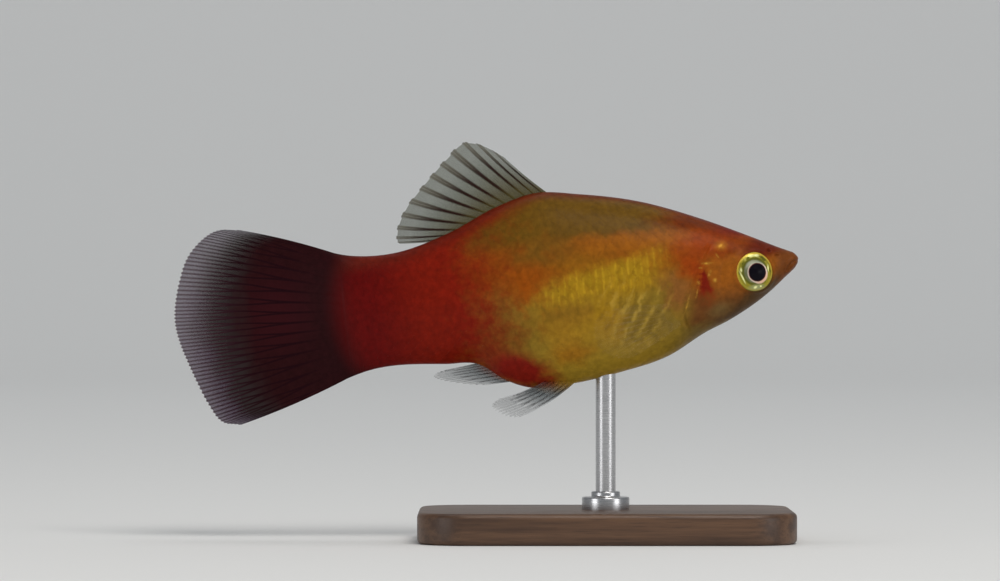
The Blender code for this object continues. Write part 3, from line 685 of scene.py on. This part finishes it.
def make_scales(name, side):
    """One side's scales: a grid plate is added once, and each scale is a copy laid on the skin."""
    bpy.ops.mesh.primitive_grid_add(x_subdivisions=CELLS_WIDE, y_subdivisions=CELLS_LONG, size=MM)
    piece = start_shape(name)
    edit()
    bpy.ops.mesh.extrude_region_move(TRANSFORM_OT_translate={"value": (0, 0, MM)})
    finish_edit()
    plate = piece.data
    corners = [tuple(face.vertices) for face in plate.polygons]
    lower = np.zeros(len(plate.vertices), bool)
    base = np.zeros((len(plate.vertices), 2))
    for i, vertex in enumerate(plate.vertices):
        column = round((vertex.co.x / MM + 0.5) * CELLS_WIDE)
        row = round((vertex.co.y / MM + 0.5) * CELLS_LONG)
        base[i] = cell_u[row, column], cell_w[row, column]
        lower[i] = vertex.co.z < 0.5 * MM
    places, faces, local, roots, tone = [], [], [], [], []
    for number, (s, level) in enumerate(scale_centres()):
        length = float(scale_length(s)) * SCALE_OVERLAP * rng.uniform(0.96, 1.04)
        u, w = base[:, 0], base[:, 1]
        at_s = np.clip(s + length * (u - 0.72), 0.3, SKIN_END)
        turn = row_turn(np.clip(level + 0.58 * w + rng.uniform(-0.03, 0.03), 0.0, SCALE_ROWS))
        if side < 0:
            turn = math.pi - turn
        lift = LIFT_FRONT + (LIFT_REAR - LIFT_FRONT + rng.uniform(-0.003, 0.003)) * u - 0.010 * w**2
        lift = lift - TUCK * ease(u, 0.4, 0.0) - SCALE_THICK * lower
        places.append(skin_points(at_s, turn, lift))
        start = number * len(base)
        faces += [tuple(start + i for i in face) for face in corners]
        local.append(base)
        across_map = level / SCALE_ROWS * 0.48
        roots.append((s / 40.0, across_map + 0.01 if side > 0 else 0.99 - across_map))
        tone.append(np.full(len(base), rng.uniform(0, 1)))
    mesh = bpy.data.meshes.new(name)
    points = np.concatenate(places)
    mesh.from_pydata(points.tolist(), [], faces)
    piece.data = mesh
    set_points(piece, points)
    local = np.concatenate(local)
    loops = np.empty(len(mesh.loops), int)
    mesh.loops.foreach_get("vertex_index", loops)
    patch_uv = mesh.uv_layers.new(name="OFBake")
    root_uv = np.repeat(np.array(roots), len(base), axis=0) + (local - (0.5, 0.0)) * (PATCH, PATCH / 2)
    patch_uv.uv.foreach_set("vector", root_uv[loops].astype(np.float32).ravel())
    plate_uv = mesh.uv_layers.new(name="Scale")
    plate_uv.uv.foreach_set("vector", (local * (1.0, 0.5) + (0.0, 0.5))[loops].astype(np.float32).ravel())
    store(piece, "tone", "FLOAT", np.concatenate(tone))
    return piece


scale_paint, shader = new_material("scales")
marked = add_markings(attribute(shader, "rest"))
u, v = parts(source(shader, "UVMap", uv_map="Scale")[0])[:2]
off_middle = both(maths("ABSOLUTE", maths("SUBTRACT", v, 0.5)), 2.0)
rim = maths("ADD", u, both(maths("POWER", off_middle, 2.0), 0.28))
edge = fade(rim, 0.84, 0.98)
tone = attribute(shader, "tone", "Fac")
dark_edge = both(edge, node("MapRange", marked["Net"], 0.0, 1.0, 0.02, 0.07))
colour = paint(marked["Color"], SCALE_EDGE, dark_edge)
tick = both((rim, 0.55, 0.7), (rim, 0.93, 0.8), marked["Ticks"])
colour = paint(colour, BRIGHT_GOLD, both(tick, 0.2))
level = node("MapRange", tone, 0.0, 1.0, 0.95, 1.06)
colour = node("VectorMath", colour, None, None, level, operation="SCALE")
rings = node("TexWave", node("CombineXYZ", rim, 0.0, 0.0), 9.0, 0.4, bands_direction="X")
set_shader(
    shader, Base_Color=colour, Metallic=both(tick, 0.2),
    Roughness=node("MapRange", rings, 0.0, 1.0, 0.30, 0.42),
    Specular_IOR_Level=SPECULAR, Coat_Weight=WET_COAT, Coat_Roughness=0.16,
)
add_bump(shader, rings, 0.15, 0.01 * MM)
for side, name in ((1, "scales_left"), (-1, "scales_right")):
    scales = make_scales(name, side)
    finish_piece(scales, (), scale_paint, smooth=50)


# The eyes. Each is one polished ball set in its socket: a near-black pupil that stands a little forward, a
# pinkish silver ring round it, a grey-olive iris and a yellow-green gold outer ring. Its pale glints and the
# bright flecks along its top are painted highlights, and the dark line round the ball is painted socket
# shadow.

EYE_YAW = math.radians(17.5)
EYE_BULGE = 0.34
EYE_SUNK = 0.08
EYE_BACK = 0.8
PUPIL_BUMP = 0.12
IRIS_DARK = (0.14, 0.15, 0.07)
IRIS_GREY = (0.26, 0.27, 0.17)
IRIS_PALE = (0.46, 0.47, 0.34)
RING_OLIVE = (0.13, 0.13, 0.018)
RING_GOLD = (0.31, 0.27, 0.028)
RING_YELLOW = (0.66, 0.46, 0.06)
RING_HIGHLIGHT = (0.95, 0.95, 0.42)
RING_SILVER = (0.36, 0.40, 0.21)
# The dark line round the ball's edge is a painted shadow of the socket.
RING_SOCKET_SHADOW = (0.16, 0.10, 0.015)
RING_GLINTS = (
    ((-1.10, -0.34), (0.10, 0.74), -0.38), ((-1.14, 0.24), (0.12, 0.26), 0.0),
    ((-0.1, -1.26), (0.22, 0.17), 0.3), ((0.36, -1.22), (0.13, 0.12), 0.0),
    ((1.14, 0.16), (0.08, 0.42), 0.1), ((0.30, 1.27), (0.28, 0.13), 0.0),
)
PUPIL_RIM = (0.66, 0.54, 0.44)
PUPIL_RIM_WARM = (0.80, 0.50, 0.34)
PUPIL_RED = (0.09, 0.014, 0.016)
PUPIL_BLACK = (0.004, 0.003, 0.006)

eye_paint, shader = new_material("eye")
disc = attribute(shader, "disc")
forward, up_eye = parts(disc)[:2]


def ring_distance(x, y, centre):
    dx = maths("SUBTRACT", x, centre[0])
    dy = maths("SUBTRACT", y, centre[1])
    return maths("SQRT", maths("ADD", both(dx, dx), both(dy, dy)))


pupil_off = (EYE_PLACE[0] - PUPIL_PLACE[0], PUPIL_PLACE[1] - EYE_PLACE[1])
iris_grain = noise(disc, 3.2, 4.0, 0.65)
ragged = both(maths("SUBTRACT", iris_grain, 0.5), 0.14)
from_pupil = maths("ADD", ring_distance(forward, up_eye, pupil_off), both(ragged, 0.4))
from_middle = maths("ADD", ring_distance(forward, up_eye, (0.0, 0.0)), ragged)
around = maths("ARCTAN2", up_eye, forward)
flecks = noise(disc, 1.7, 2.0, 0.5)
colour = paint(IRIS_DARK, IRIS_GREY, fade(iris_grain, 0.35, 0.7))
colour = lay(colour, forward, up_eye, (IRIS_PALE, (-0.22, 0.62), (1.0, 0.55), 0.9))
outer = fade(from_middle, 1.06, 1.16)
# Painted highlight: bright flecks along the top of the outer ring.
high = fade(maths("ABSOLUTE", maths("SUBTRACT", around, 1.45)), 1.0, 0.4)
high = both(high, (from_middle, 1.10, 1.22), (from_middle, 1.46, 1.34))
colour = coats(
    colour,
    (RING_OLIVE, (from_middle, 0.84, 1.0)),
    (RING_GOLD, outer),
    (RING_OLIVE, both(outer, (flecks, 0.46, 0.34))),
    (RING_HIGHLIGHT, both(high, (flecks, 0.40, 0.58), 0.65)),
)
colour = lay(colour, forward, up_eye, (RING_SILVER, (0.05, -1.28), (1.05, 0.36), 0.8, 0.0, 0.75))
line = both((from_middle, 1.34, 1.42), (from_middle, 1.56, 1.46))
line_strength = node("MapRange", up_eye, -1.2, 0.6, 0.2, 0.85)
colour = paint(colour, RING_YELLOW, both(line, line_strength))
# Painted highlights: the pale glints round the ring, a long arc at its left and blobs below it.
for middle, reach, lean in RING_GLINTS:
    colour = lay(colour, forward, up_eye, (RING_HIGHLIGHT, middle, reach, 0.8, lean))
thick = fade(maths("ABSOLUTE", maths("ADD", around, 0.85)), 1.1, 0.2)
rim_width = node("MapRange", thick, 0.0, 1.0, 0.84, 0.96)
rim_share = fade(maths("SUBTRACT", from_pupil, rim_width), 0.04, -0.06)
rim_colour = paint(PUPIL_RIM, PUPIL_RIM_WARM, thick)
rim_colour = lay(rim_colour, forward, up_eye, (IRIS_PALE, (0.3, 0.75), (0.9, 0.6), 0.9))
# The first coat is the painted socket shadow, a dark line round the ball's edge.
colour = coats(
    colour,
    (RING_SOCKET_SHADOW, (from_middle, 1.5, 1.6)),
    (rim_colour, rim_share),
    (PUPIL_RED, (from_pupil, 0.77, 0.72)),
    (PUPIL_BLACK, (from_pupil, 0.72, 0.66)),
)
metal = both((from_pupil, 0.74, 0.80), (from_middle, 1.5, 1.36))
set_shader(
    shader, Base_Color=colour, Metallic=both(metal, 0.35), Roughness=0.3,
    Specular_IOR_Level=SPECULAR, Coat_Weight=2 * WET_COAT, Coat_Roughness=0.15,
)

for side, end in ((1, "left"), (-1, "right")):
    bpy.ops.mesh.primitive_uv_sphere_add(segments=72, ring_count=48, radius=BALL_RADIUS * MM)
    ball = start_shape("eye_ball_" + end)
    disc_place = read_points(ball)
    ahead, rise, outward = disc_place.T
    depth = np.where(outward > 0, outward / BALL_RADIUS * EYE_BULGE, outward / BALL_RADIUS * EYE_BACK)
    pupil_bump = PUPIL_BUMP * np.exp(-((np.hypot(ahead - pupil_off[0], rise - pupil_off[1]) / 0.55) ** 2))
    depth = depth + np.where(outward > 0, pupil_bump, 0.0) - EYE_SUNK
    swung = ahead * math.cos(EYE_YAW) + depth * math.sin(EYE_YAW)
    proud = depth * math.cos(EYE_YAW) - ahead * math.sin(EYE_YAW)
    y = side * (float(skin_width(*EYE_PLACE)) + proud)
    set_points(ball, np.stack((EYE_PLACE[0] - swung, y, EYE_PLACE[1] + rise), axis=-1))
    store(ball, "disc", "FLOAT_VECTOR", disc_place)
    finish_piece(ball, ("eye_" + end,), eye_paint)


# The fins. Each is one thin membrane with its soft rays raised on both faces. The rays fork on their way
# out, and the edge of the fin is a little frayed between their tips. A grid is laid on the fin's outline,
# and it gets its thickness from how near each point is to a ray.

MEMBRANE = 0.10
CELLS_EACH_RAY = 12
RAY_JOINT = (0.030, 0.012, 0.012)


def through(points, share):
    """Places at shares from 0 to 1 of a smooth line through equally spaced points."""
    steps = np.arange(len(points))
    reads = [curve(tuple(zip(steps, column))) for column in zip(*points)]
    return np.stack([read(share * (len(points) - 1)) for read in reads], axis=-1)


def make_fin(
    name, root, tips, rays, rows, lateral, forks=(0.5, 2.0), bow=0.0, flare=0.0, notch=0.03, rise=0.22,
    base_thick=0.0, cells=CELLS_EACH_RAY, spread=0.25, grown=0.12, broad=0.16,
):
    """A fin from its root to its tips, front to back. forks are the shares of its length where rays fork."""
    columns = rays * cells
    bpy.ops.mesh.primitive_grid_add(x_subdivisions=columns, y_subdivisions=rows, size=MM)
    piece = start_shape(name)
    across = np.linspace(0, 1, columns + 1)
    out = np.linspace(0, 1, rows + 1)
    v, u = np.meshgrid(across, out)
    lane = v * rays
    part = lane - np.floor(np.minimum(lane, rays - 1e-6))
    first = spread * ease(u, forks[0], forks[0] + 0.32)
    second = 0.125 * ease(u, forks[1], forks[1] + 0.2)
    near = np.min(
        [np.abs(part - 0.5 - a * first - b * second) for a in (-1, 1) for b in (-1, 1)], axis=0
    )
    width = broad - 0.07 * ease(u, forks[0], forks[0] + 0.3) - 0.02 * ease(u, forks[1], 1.0)
    ray = np.clip(1 - near / width, 0, 1)
    reach = u * (1 - notch * (1 - ease(ray, 0.0, 0.6)) * u**4)
    start, end = through(root, v), through(tips, v)
    chord = end - start
    bend = (bow + flare * (2 * v - 1)) * 4 * reach * (1 - reach)
    s = start[..., 0] + chord[..., 0] * reach - chord[..., 1] * bend
    h = start[..., 1] + chord[..., 1] * reach + chord[..., 0] * bend
    y = lateral(u, v) + 0.02 * (u**2) * np.sin(lane * 2 * math.pi)
    thick = MEMBRANE * (1 - 0.35 * u) + rise * ray * (1 - 0.75 * u) * ease(u, 0.0, grown)
    root_arch = np.sqrt(np.clip(1 - (2 * v - 1) ** 2, 0, 1))
    thick = thick + base_thick * root_arch * np.clip(1 - u / 0.36, 0, 1) ** 1.5
    set_points(piece, np.stack((s, y, h), axis=-1).reshape(-1, 3))
    store(piece, "ray", "FLOAT", ray)
    group = piece.vertex_groups.new(name="thick")
    most = float(thick.max())
    for i, amount in enumerate(thick.ravel() / most):
        group.add((i,), float(amount), "REPLACE")
    solid = piece.modifiers.new("Solidify", "SOLIDIFY")
    solid.thickness = most * MM
    solid.offset = 0.0
    solid.vertex_group = "thick"
    bpy.context.view_layer.objects.active = piece
    bpy.ops.object.modifier_apply(modifier="Solidify")
    return piece


def fin_paint(name, membrane, bones, clear, bone_alpha, jointed=1.0, slope=0.0, easing="LINEAR"):
    """A fin's material. membrane and bones are functions that give colours. clear and bone_alpha give where
    the membrane and the rays start and end to thin out on their way to the edge, and their alpha there.
    """
    made, shader = new_material(name)
    rest = attribute(shader, "rest")
    ray = fade(attribute(shader, "ray", "Fac"), 0.0, 0.8)
    out = parts(source(shader, "UVMap", uv_map="UVMap")[0])[1]
    joints = maths("FRACT", both(out, 26.0))
    joints = both((joints, 0.86, 0.95), (out, 0.2, 0.4))
    joints = both(joints, jointed)
    colour = paint(membrane(rest, out), bones(rest, out), ray)
    colour = paint(colour, RAY_JOINT, both(joints, ray, 0.5))
    higher = maths("ADD", out, both(parts(rest)[2], slope)) if slope else out
    see = node("MapRange", higher, *clear, interpolation_type=easing)
    solid = node("MapRange", higher, *bone_alpha, interpolation_type=easing)
    set_shader(
        shader, Base_Color=colour, Alpha=node("Mix", ray, None, see, solid),
        Roughness=node("MapRange", ray, 0.0, 1.0, 0.42, 0.54), Specular_IOR_Level=0.04,
    )
    add_bump(shader, noise(rest, 3.0, 3.0, 0.6), 0.2, 0.03 * MM)
    return made


# The tail fin: black-red from its root, with a red tint in its middle. Its edge thins out to a clear
# violet-grey crescent, widest at the top.

TAIL_RED = (0.034, 0.005, 0.007)
TAIL_SMOKE = (0.030, 0.022, 0.022)
TAIL_VIOLET = (0.085, 0.055, 0.095)
TAIL_BONE = (0.014, 0.002, 0.004)
TAIL_BONE_END = (0.060, 0.022, 0.034)


def tail_membrane(place, out):
    s, _, h = parts(place)
    cloud = maths("SUBTRACT", noise(place, 0.6, 4.0, 0.6), 0.5)
    s = maths("ADD", s, both(cloud, 3.0))
    out = maths("ADD", out, both(cloud, 0.2))
    return coats(
        add_markings(place)["Color"],
        (TAIL_RED, spot(s, h, (42.0, 0.5), (4.5, 5.0), 0.9)),
        (TAIL_SMOKE, (out, 0.54, 0.76)),
        (TAIL_VIOLET, (out, 0.76, 1.0)),
    )


def tail_bones(place, out):
    s = parts(place)[0]
    colour = add_markings(place)["Color"]
    return coats(colour, (TAIL_BONE, (s, 38.0, 41.0)), (TAIL_BONE_END, (s, 44.0, 49.5)))


TAIL_ROOT = 36.4
tail_high, tail_low = float(back(np.array(TAIL_ROOT))) - 0.06, float(belly(np.array(TAIL_ROOT))) + 0.06
tail_root = [(TAIL_ROOT, tail_high + (tail_low - tail_high) * x / 6) for x in range(7)]
tail_tips = [
    (44.2, 7.55), (46.0, 7.75), (47.45, 7.1), (48.75, 5.8), (49.55, 4.1), (50.1, 2.3), (50.3, 0.7),
    (50.1, -0.9), (49.65, -2.5), (49.1, -4.2), (48.4, -6.05), (47.5, -7.55), (46.0, -8.0),
]
tail_fin = make_fin(
    "tail_fin", tail_root, tail_tips, rays=16, rows=100, forks=(0.30, 0.60), flare=-0.02, notch=0.008,
    rise=0.08, base_thick=2.0, cells=24, grown=0.7,
    lateral=lambda u, v: 0.3 * u * np.sin(2.2 * math.pi * v + 0.6),
)
dark_fin = fin_paint(
    "tail fin", tail_membrane, tail_bones, clear=(0.61, 1.04, 1.0, 0.48), bone_alpha=(0.68, 1.04, 1.0, 0.66),
    jointed=0.2, slope=0.012, easing="SMOOTHSTEP",
)
finish_piece(tail_fin, ("caudal_fin",), dark_fin)


# The dorsal fin: a clear membrane with a faint olive tint. Its rays are dark red-brown, darkest half way.

DORSAL_ROOT = (0.080, 0.066, 0.014)
DORSAL_EDGE = (0.090, 0.105, 0.060)
DORSAL_RAY_END = (0.075, 0.060, 0.020)
DORSAL_RAY = (0.022, 0.006, 0.005)


def clear_membrane(place, out):
    return paint(DORSAL_ROOT, DORSAL_EDGE, fade(out, 0.15, 0.7))


def dorsal_bones(place, out):
    dark = both((out, 0.10, 0.36), (out, 1.0, 0.55))
    return paint(DORSAL_RAY_END, DORSAL_RAY, dark)


dorsal_root = [(s, float(back(np.array(s))) - 0.5) for s in (18.7, 20.6, 22.5, 24.3, 26.0, 27.6)]
dorsal_tips = [
    (22.5, 10.9), (24.1, 12.02), (25.6, 12.36), (26.95, 11.35), (28.2, 10.25),
    (29.45, 9.05), (30.7, 7.75), (31.5, 6.4), (31.75, 5.35), (31.6, 4.95),
]
dorsal = make_fin(
    "dorsal_membrane", dorsal_root, dorsal_tips, rays=12, rows=56, forks=(0.45, 2.0), spread=0.09, bow=-0.02,
    notch=0.02, rise=0.13, base_thick=0.35, broad=0.23,
    lateral=lambda u, v: 0.35 * u * u * np.sin(2.6 * math.pi * v),
)
clear_fin = fin_paint(
    "clear fin", clear_membrane, dorsal_bones,
    clear=(0.05, 0.8, 0.80, 0.40), bone_alpha=(0.5, 1.0, 0.95, 0.55),
)
finish_piece(dorsal, ("dorsal_fin",), clear_fin)


# The anal fin is folded back along the belly, so that its rays lie close together, pale between dark lines.
# It starts in the colours of the rump and thins out towards its tips.

PALE_EDGE = (0.085, 0.105, 0.110)
DARK_RAY = (0.024, 0.018, 0.020)
PALE_RAY = (0.200, 0.200, 0.200)

anal_root = [(23.5, -7.1), (24.0, -6.6), (24.5, -6.05), (25.0, -5.6), (25.5, -5.2)]
anal_tips = [
    (26.0, -7.1), (27.4, -6.9), (28.8, -6.55), (29.7, -6.2), (30.05, -5.95), (29.8, -5.72), (29.0, -5.58),
]
anal = make_fin(
    "anal_membrane", anal_root, anal_tips, rays=8, rows=30, notch=0.06, rise=0.2, base_thick=0.3,
    lateral=lambda u, v: 0.12 * u * np.sin(2 * math.pi * v),
)


def pale_membrane(place, out):
    body = add_markings(place)["Color"]
    return paint(body, PALE_EDGE, fade(out, 0.06, 0.42))


def mixed_bones(place, out):
    body = add_markings(place)["Color"]
    streak = noise(place, 1.2, 1.0, 0.5)
    bones = paint(DARK_RAY, PALE_RAY, fade(streak, 0.5, 0.68))
    return paint(body, bones, fade(out, 0.06, 0.36))


folded_fin = fin_paint(
    "folded fin", pale_membrane, mixed_bones, jointed=0.3,
    clear=(0.1, 0.85, 0.75, 0.12), bone_alpha=(0.3, 1.0, 0.92, 0.35),
)
finish_piece(anal, ("anal_fin",), folded_fin)


# The pelvic fins hang under the belly, one each side of the middle. They start in the belly's colours and
# thin out to almost clear tips.

hanging_fin = fin_paint(
    "hanging fin", pale_membrane, mixed_bones, jointed=0.3,
    clear=(0.1, 0.7, 0.70, 0.05), bone_alpha=(0.15, 0.95, 0.88, 0.14),
)
pelvic_root = [(18.4, -7.35), (19.2, -7.25), (20.0, -7.15), (20.7, -7.05)]
pelvic_tips = [(23.5, -9.95), (24.4, -9.85), (25.1, -9.5), (25.6, -9.05), (25.65, -8.7), (25.0, -8.35)]
for side, end in ((1, "left"), (-1, "right")):
    pelvic = make_fin(
        "pelvic_" + end, pelvic_root, pelvic_tips, rays=6, rows=34, bow=-0.05, notch=0.08, base_thick=0.25,
        lateral=lambda u, v, side=side: side * (0.75 + 1.1 * u + 0.5 * u * v),
    )
    finish_piece(pelvic, ("pelvic_fin_" + end,), hanging_fin)


# The pectoral fins stand out from behind the gill covers. They are almost clear, with fine pale rays.

GLASSY_ROOT = (0.42, 0.30, 0.12)
GLASSY_EDGE = (0.50, 0.46, 0.34)
FINE_RAY_ROOT = (0.40, 0.26, 0.10)
FINE_RAY_END = (0.34, 0.26, 0.16)


def glassy_membrane(place, out):
    return paint(GLASSY_ROOT, GLASSY_EDGE, fade(out, 0.1, 0.6))


def fine_bones(place, out):
    return paint(FINE_RAY_ROOT, FINE_RAY_END, fade(out, 0.2, 0.7))


glassy_fin = fin_paint(
    "glassy fin", glassy_membrane, fine_bones,
    clear=(0.0, 0.3, 0.10, 0.010), bone_alpha=(0.0, 1.0, 0.15, 0.04),
)
pectoral_root = [(10.0, -2.45), (10.1, -3.05), (10.15, -3.65), (10.1, -4.25)]
pectoral_tips = [
    (14.6, -2.15), (16.0, -2.4), (16.95, -3.1), (17.25, -4.1), (16.95, -5.1), (16.2, -5.85), (15.1, -6.3),
    (13.8, -6.1),
]
socket_depth = float(skin_width(10.3, -3.4)) - 0.35
for side, end in ((1, "left"), (-1, "right")):
    pectoral = make_fin(
        "pectoral_" + end, pectoral_root, pectoral_tips, rays=12, rows=36, notch=0.04, rise=0.14,
        base_thick=0.2,
        lateral=lambda u, v, side=side: side * (socket_depth + 4.1 * u - 0.7 * u * u),
    )
    finish_piece(pectoral, ("pectoral_fin_" + end,), glassy_fin)


# The stand's base is a block of dark wood with eased edges, oiled to a satin finish, grain along its length.

CORNER_RADIUS = 4.0 * MM
EASED_EDGE = 0.4 * MM
WOOD_DARK = (0.060, 0.028, 0.014)
WOOD_LIGHT = (0.135, 0.068, 0.034)
WOOD_PORE = (0.030, 0.014, 0.008)
BAND_SCALE = (45.0, 900.0, 900.0)
FIBRE_SCALE = (300.0, 9000.0, 9000.0)

base_low, base_high = (Vector(corner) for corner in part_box("stand_base"))
bpy.ops.mesh.primitive_cube_add(size=1.0, location=(base_low + base_high) / 2, scale=base_high - base_low)
base = start_shape("wood_base")
edit()
select_where(base, "edges", lambda edge: abs(edge.verts[0].co.z - edge.verts[1].co.z) > MM)
bpy.ops.mesh.bevel(offset=CORNER_RADIUS, segments=16, affect="EDGES")
select_where(base, "faces", lambda face: abs(face.normal.z) > 0.9)
bpy.ops.mesh.region_to_loop()
bpy.ops.mesh.bevel(offset=EASED_EDGE, segments=5, affect="EDGES")
finish_edit()

wood, shader = new_material("dark wood")
where = source(shader, "TexCoord")["Object"]
bands = noise(where, 1.0, 5.0, 0.6, stretch=BAND_SCALE)
fibres = noise(where, 1.0, 3.0, 0.6, stretch=FIBRE_SCALE)
colour = paint(WOOD_DARK, WOOD_LIGHT, fade(bands, 0.35, 0.65))
colour = paint(colour, WOOD_PORE, both((fibres, 0.52, 0.72), 0.6))
set_shader(shader, Base_Color=colour, Roughness=node("MapRange", fibres, 0.3, 0.7, 0.34, 0.5))
add_bump(shader, fibres, 0.3, 0.02 * MM)
finish_piece(base, ("stand_base",), wood, smooth=40)


# The rod is brushed steel. It stands in a small turned collar on the base and runs up into the belly.

ROD_RADIUS = 0.8 * MM
ROD_SUNK = 0.5 * MM
ROD_IN_BELLY = 0.6 * MM
COLLAR_RADIUS = 1.9 * MM
COLLAR_DEPTH = 1.3 * MM
COLLAR_MIDDLE = 0.35 * MM
COLLAR_LEDGE = 0.75 * MM
COLLAR_NECK = 0.45 * MM
COLLAR_EDGE = 0.12 * MM
STEEL_DARK = (0.46, 0.46, 0.47)
STEEL_LIGHT = (0.66, 0.66, 0.67)
BRUSH_SCALE = (600.0, 600.0, 30000.0)


def add_rod(name, radius, depth, middle):
    """A round bar on the rod's own line."""
    place = (rod_x, rod_y, middle)
    bpy.ops.mesh.primitive_cylinder_add(vertices=64, radius=radius, depth=depth, location=place)
    return start_shape(name)


rod_foot = base_high.z - ROD_SUNK
rod_top = rod_high.z + ROD_IN_BELLY
rod = add_rod("steel_rod", ROD_RADIUS, rod_top - rod_foot, (rod_foot + rod_top) / 2)
collar = add_rod("collar", COLLAR_RADIUS, COLLAR_DEPTH, base_high.z + COLLAR_MIDDLE)
edit()
select_where(collar, "faces", lambda face: face.normal.z > 0.9)
bpy.ops.mesh.inset(thickness=COLLAR_LEDGE)
bpy.ops.mesh.extrude_region_move(TRANSFORM_OT_translate={"value": (0, 0, COLLAR_NECK)})
select_where(collar, "edges", lambda edge: False)
bpy.ops.mesh.edges_select_sharp(sharpness=math.radians(60))
bpy.ops.mesh.bevel(offset=COLLAR_EDGE, segments=3, affect="EDGES")
finish_edit()

steel, shader = new_material("brushed steel")
where = source(shader, "TexCoord")["Object"]
brushed = noise(where, 1.0, 2.0, 0.5, stretch=BRUSH_SCALE)
set_shader(
    shader, Base_Color=paint(STEEL_DARK, STEEL_LIGHT, brushed), Metallic=1.0,
    Roughness=node("MapRange", brushed, 0.3, 0.7, 0.22, 0.38),
)
add_bump(shader, brushed, 0.1, 0.01 * MM)
finish_piece(rod, ("stand_rod",), steel, smooth=40)
finish_piece(collar, (), steel, smooth=35)


# The room: a pale floor that sweeps up into a wall, soft light from above and in front, and the camera, level
# with the fish and square to its side.

FLOOR_HALF = 2.0
FLOOR_BACK = 0.8
SWEEP = 0.8
SWEEP_STEPS = 32
WALL = 1.2
FLOOR_GREY = (0.80, 0.80, 0.79, 1.0)
SKY_TINT = (0.80, 0.84, 0.88, 1.0)

bpy.ops.mesh.primitive_plane_add(size=2 * FLOOR_HALF, location=(0, FLOOR_BACK - FLOOR_HALF, 0))
floor = start_shape("floor")
edit()
select_where(floor, "edges", lambda edge: all(vert.co.y > FLOOR_BACK - MM for vert in edge.verts))
bends = np.linspace(0, math.pi / 2, SWEEP_STEPS + 1)
for low, high in zip(bends, bends[1:]):
    rise = (0, SWEEP * (math.sin(high) - math.sin(low)), SWEEP * (math.cos(low) - math.cos(high)))
    bpy.ops.mesh.extrude_edges_move(TRANSFORM_OT_translate={"value": rise})
bpy.ops.mesh.extrude_edges_move(TRANSFORM_OT_translate={"value": (0, 0, WALL)})
finish_edit()
bpy.ops.object.shade_smooth()
floor_paint, shader = new_material("pale floor")
set_shader(shader, Base_Color=FLOOR_GREY, Roughness=0.85, Specular_IOR_Level=0.1)
floor.data.materials.append(floor_paint)

world = bpy.data.worlds.new("soft room")
world.use_nodes = True
sky = world.node_tree.nodes["Background"].inputs
sky["Color"].default_value = SKY_TINT
sky["Strength"].default_value = 0.30
bpy.context.scene.world = world


def add_light(name, power, size, place, aim=(0.0, 0.0, 0.018), tint=(1.0, 1.0, 1.0)):
    lamp = bpy.data.lights.new(name, "AREA")
    lamp.energy = power
    lamp.size = size
    lamp.color = tint
    holder = bpy.data.objects.new(name, lamp)
    bpy.context.scene.collection.objects.link(holder)
    holder.location = place
    holder.rotation_euler = (Vector(aim) - Vector(place)).to_track_quat("-Z", "Y").to_euler()


add_light("key", 1.7, 0.30, (0.14, -0.36, 0.46), tint=(1.0, 0.97, 0.93))
add_light("left fill", 0.85, 0.30, (-0.60, -0.42, 0.06))
add_light("right fill", 0.85, 0.30, (0.60, -0.42, 0.06))
add_light("wall wash", 6.0, 1.20, (0.0, 0.50, 1.30), aim=(0.0, 1.30, 0.20))

PHOTO_WIDTH = 1000
PHOTO_HEIGHT = 581
PIXEL = 0.08 * MM
SNOUT_PIXEL = (798, 258)
DISTANCE = 0.45
camera = bpy.data.cameras.new("camera")
camera.sensor_width = 36.0
camera.lens = 36.0 * DISTANCE / (PHOTO_WIDTH * PIXEL)
camera.clip_start = 0.01
viewer = bpy.data.objects.new("camera", camera)
bpy.context.scene.collection.objects.link(viewer)
viewer.location = (
    SNOUT_X - (SNOUT_PIXEL[0] - PHOTO_WIDTH / 2) * PIXEL,
    -DISTANCE,
    SNOUT_Z + (SNOUT_PIXEL[1] - PHOTO_HEIGHT / 2) * PIXEL,
)
viewer.rotation_euler = (math.pi / 2, 0, 0)
bpy.context.scene.camera = viewer
bpy.context.scene.view_settings.view_transform = "Standard"
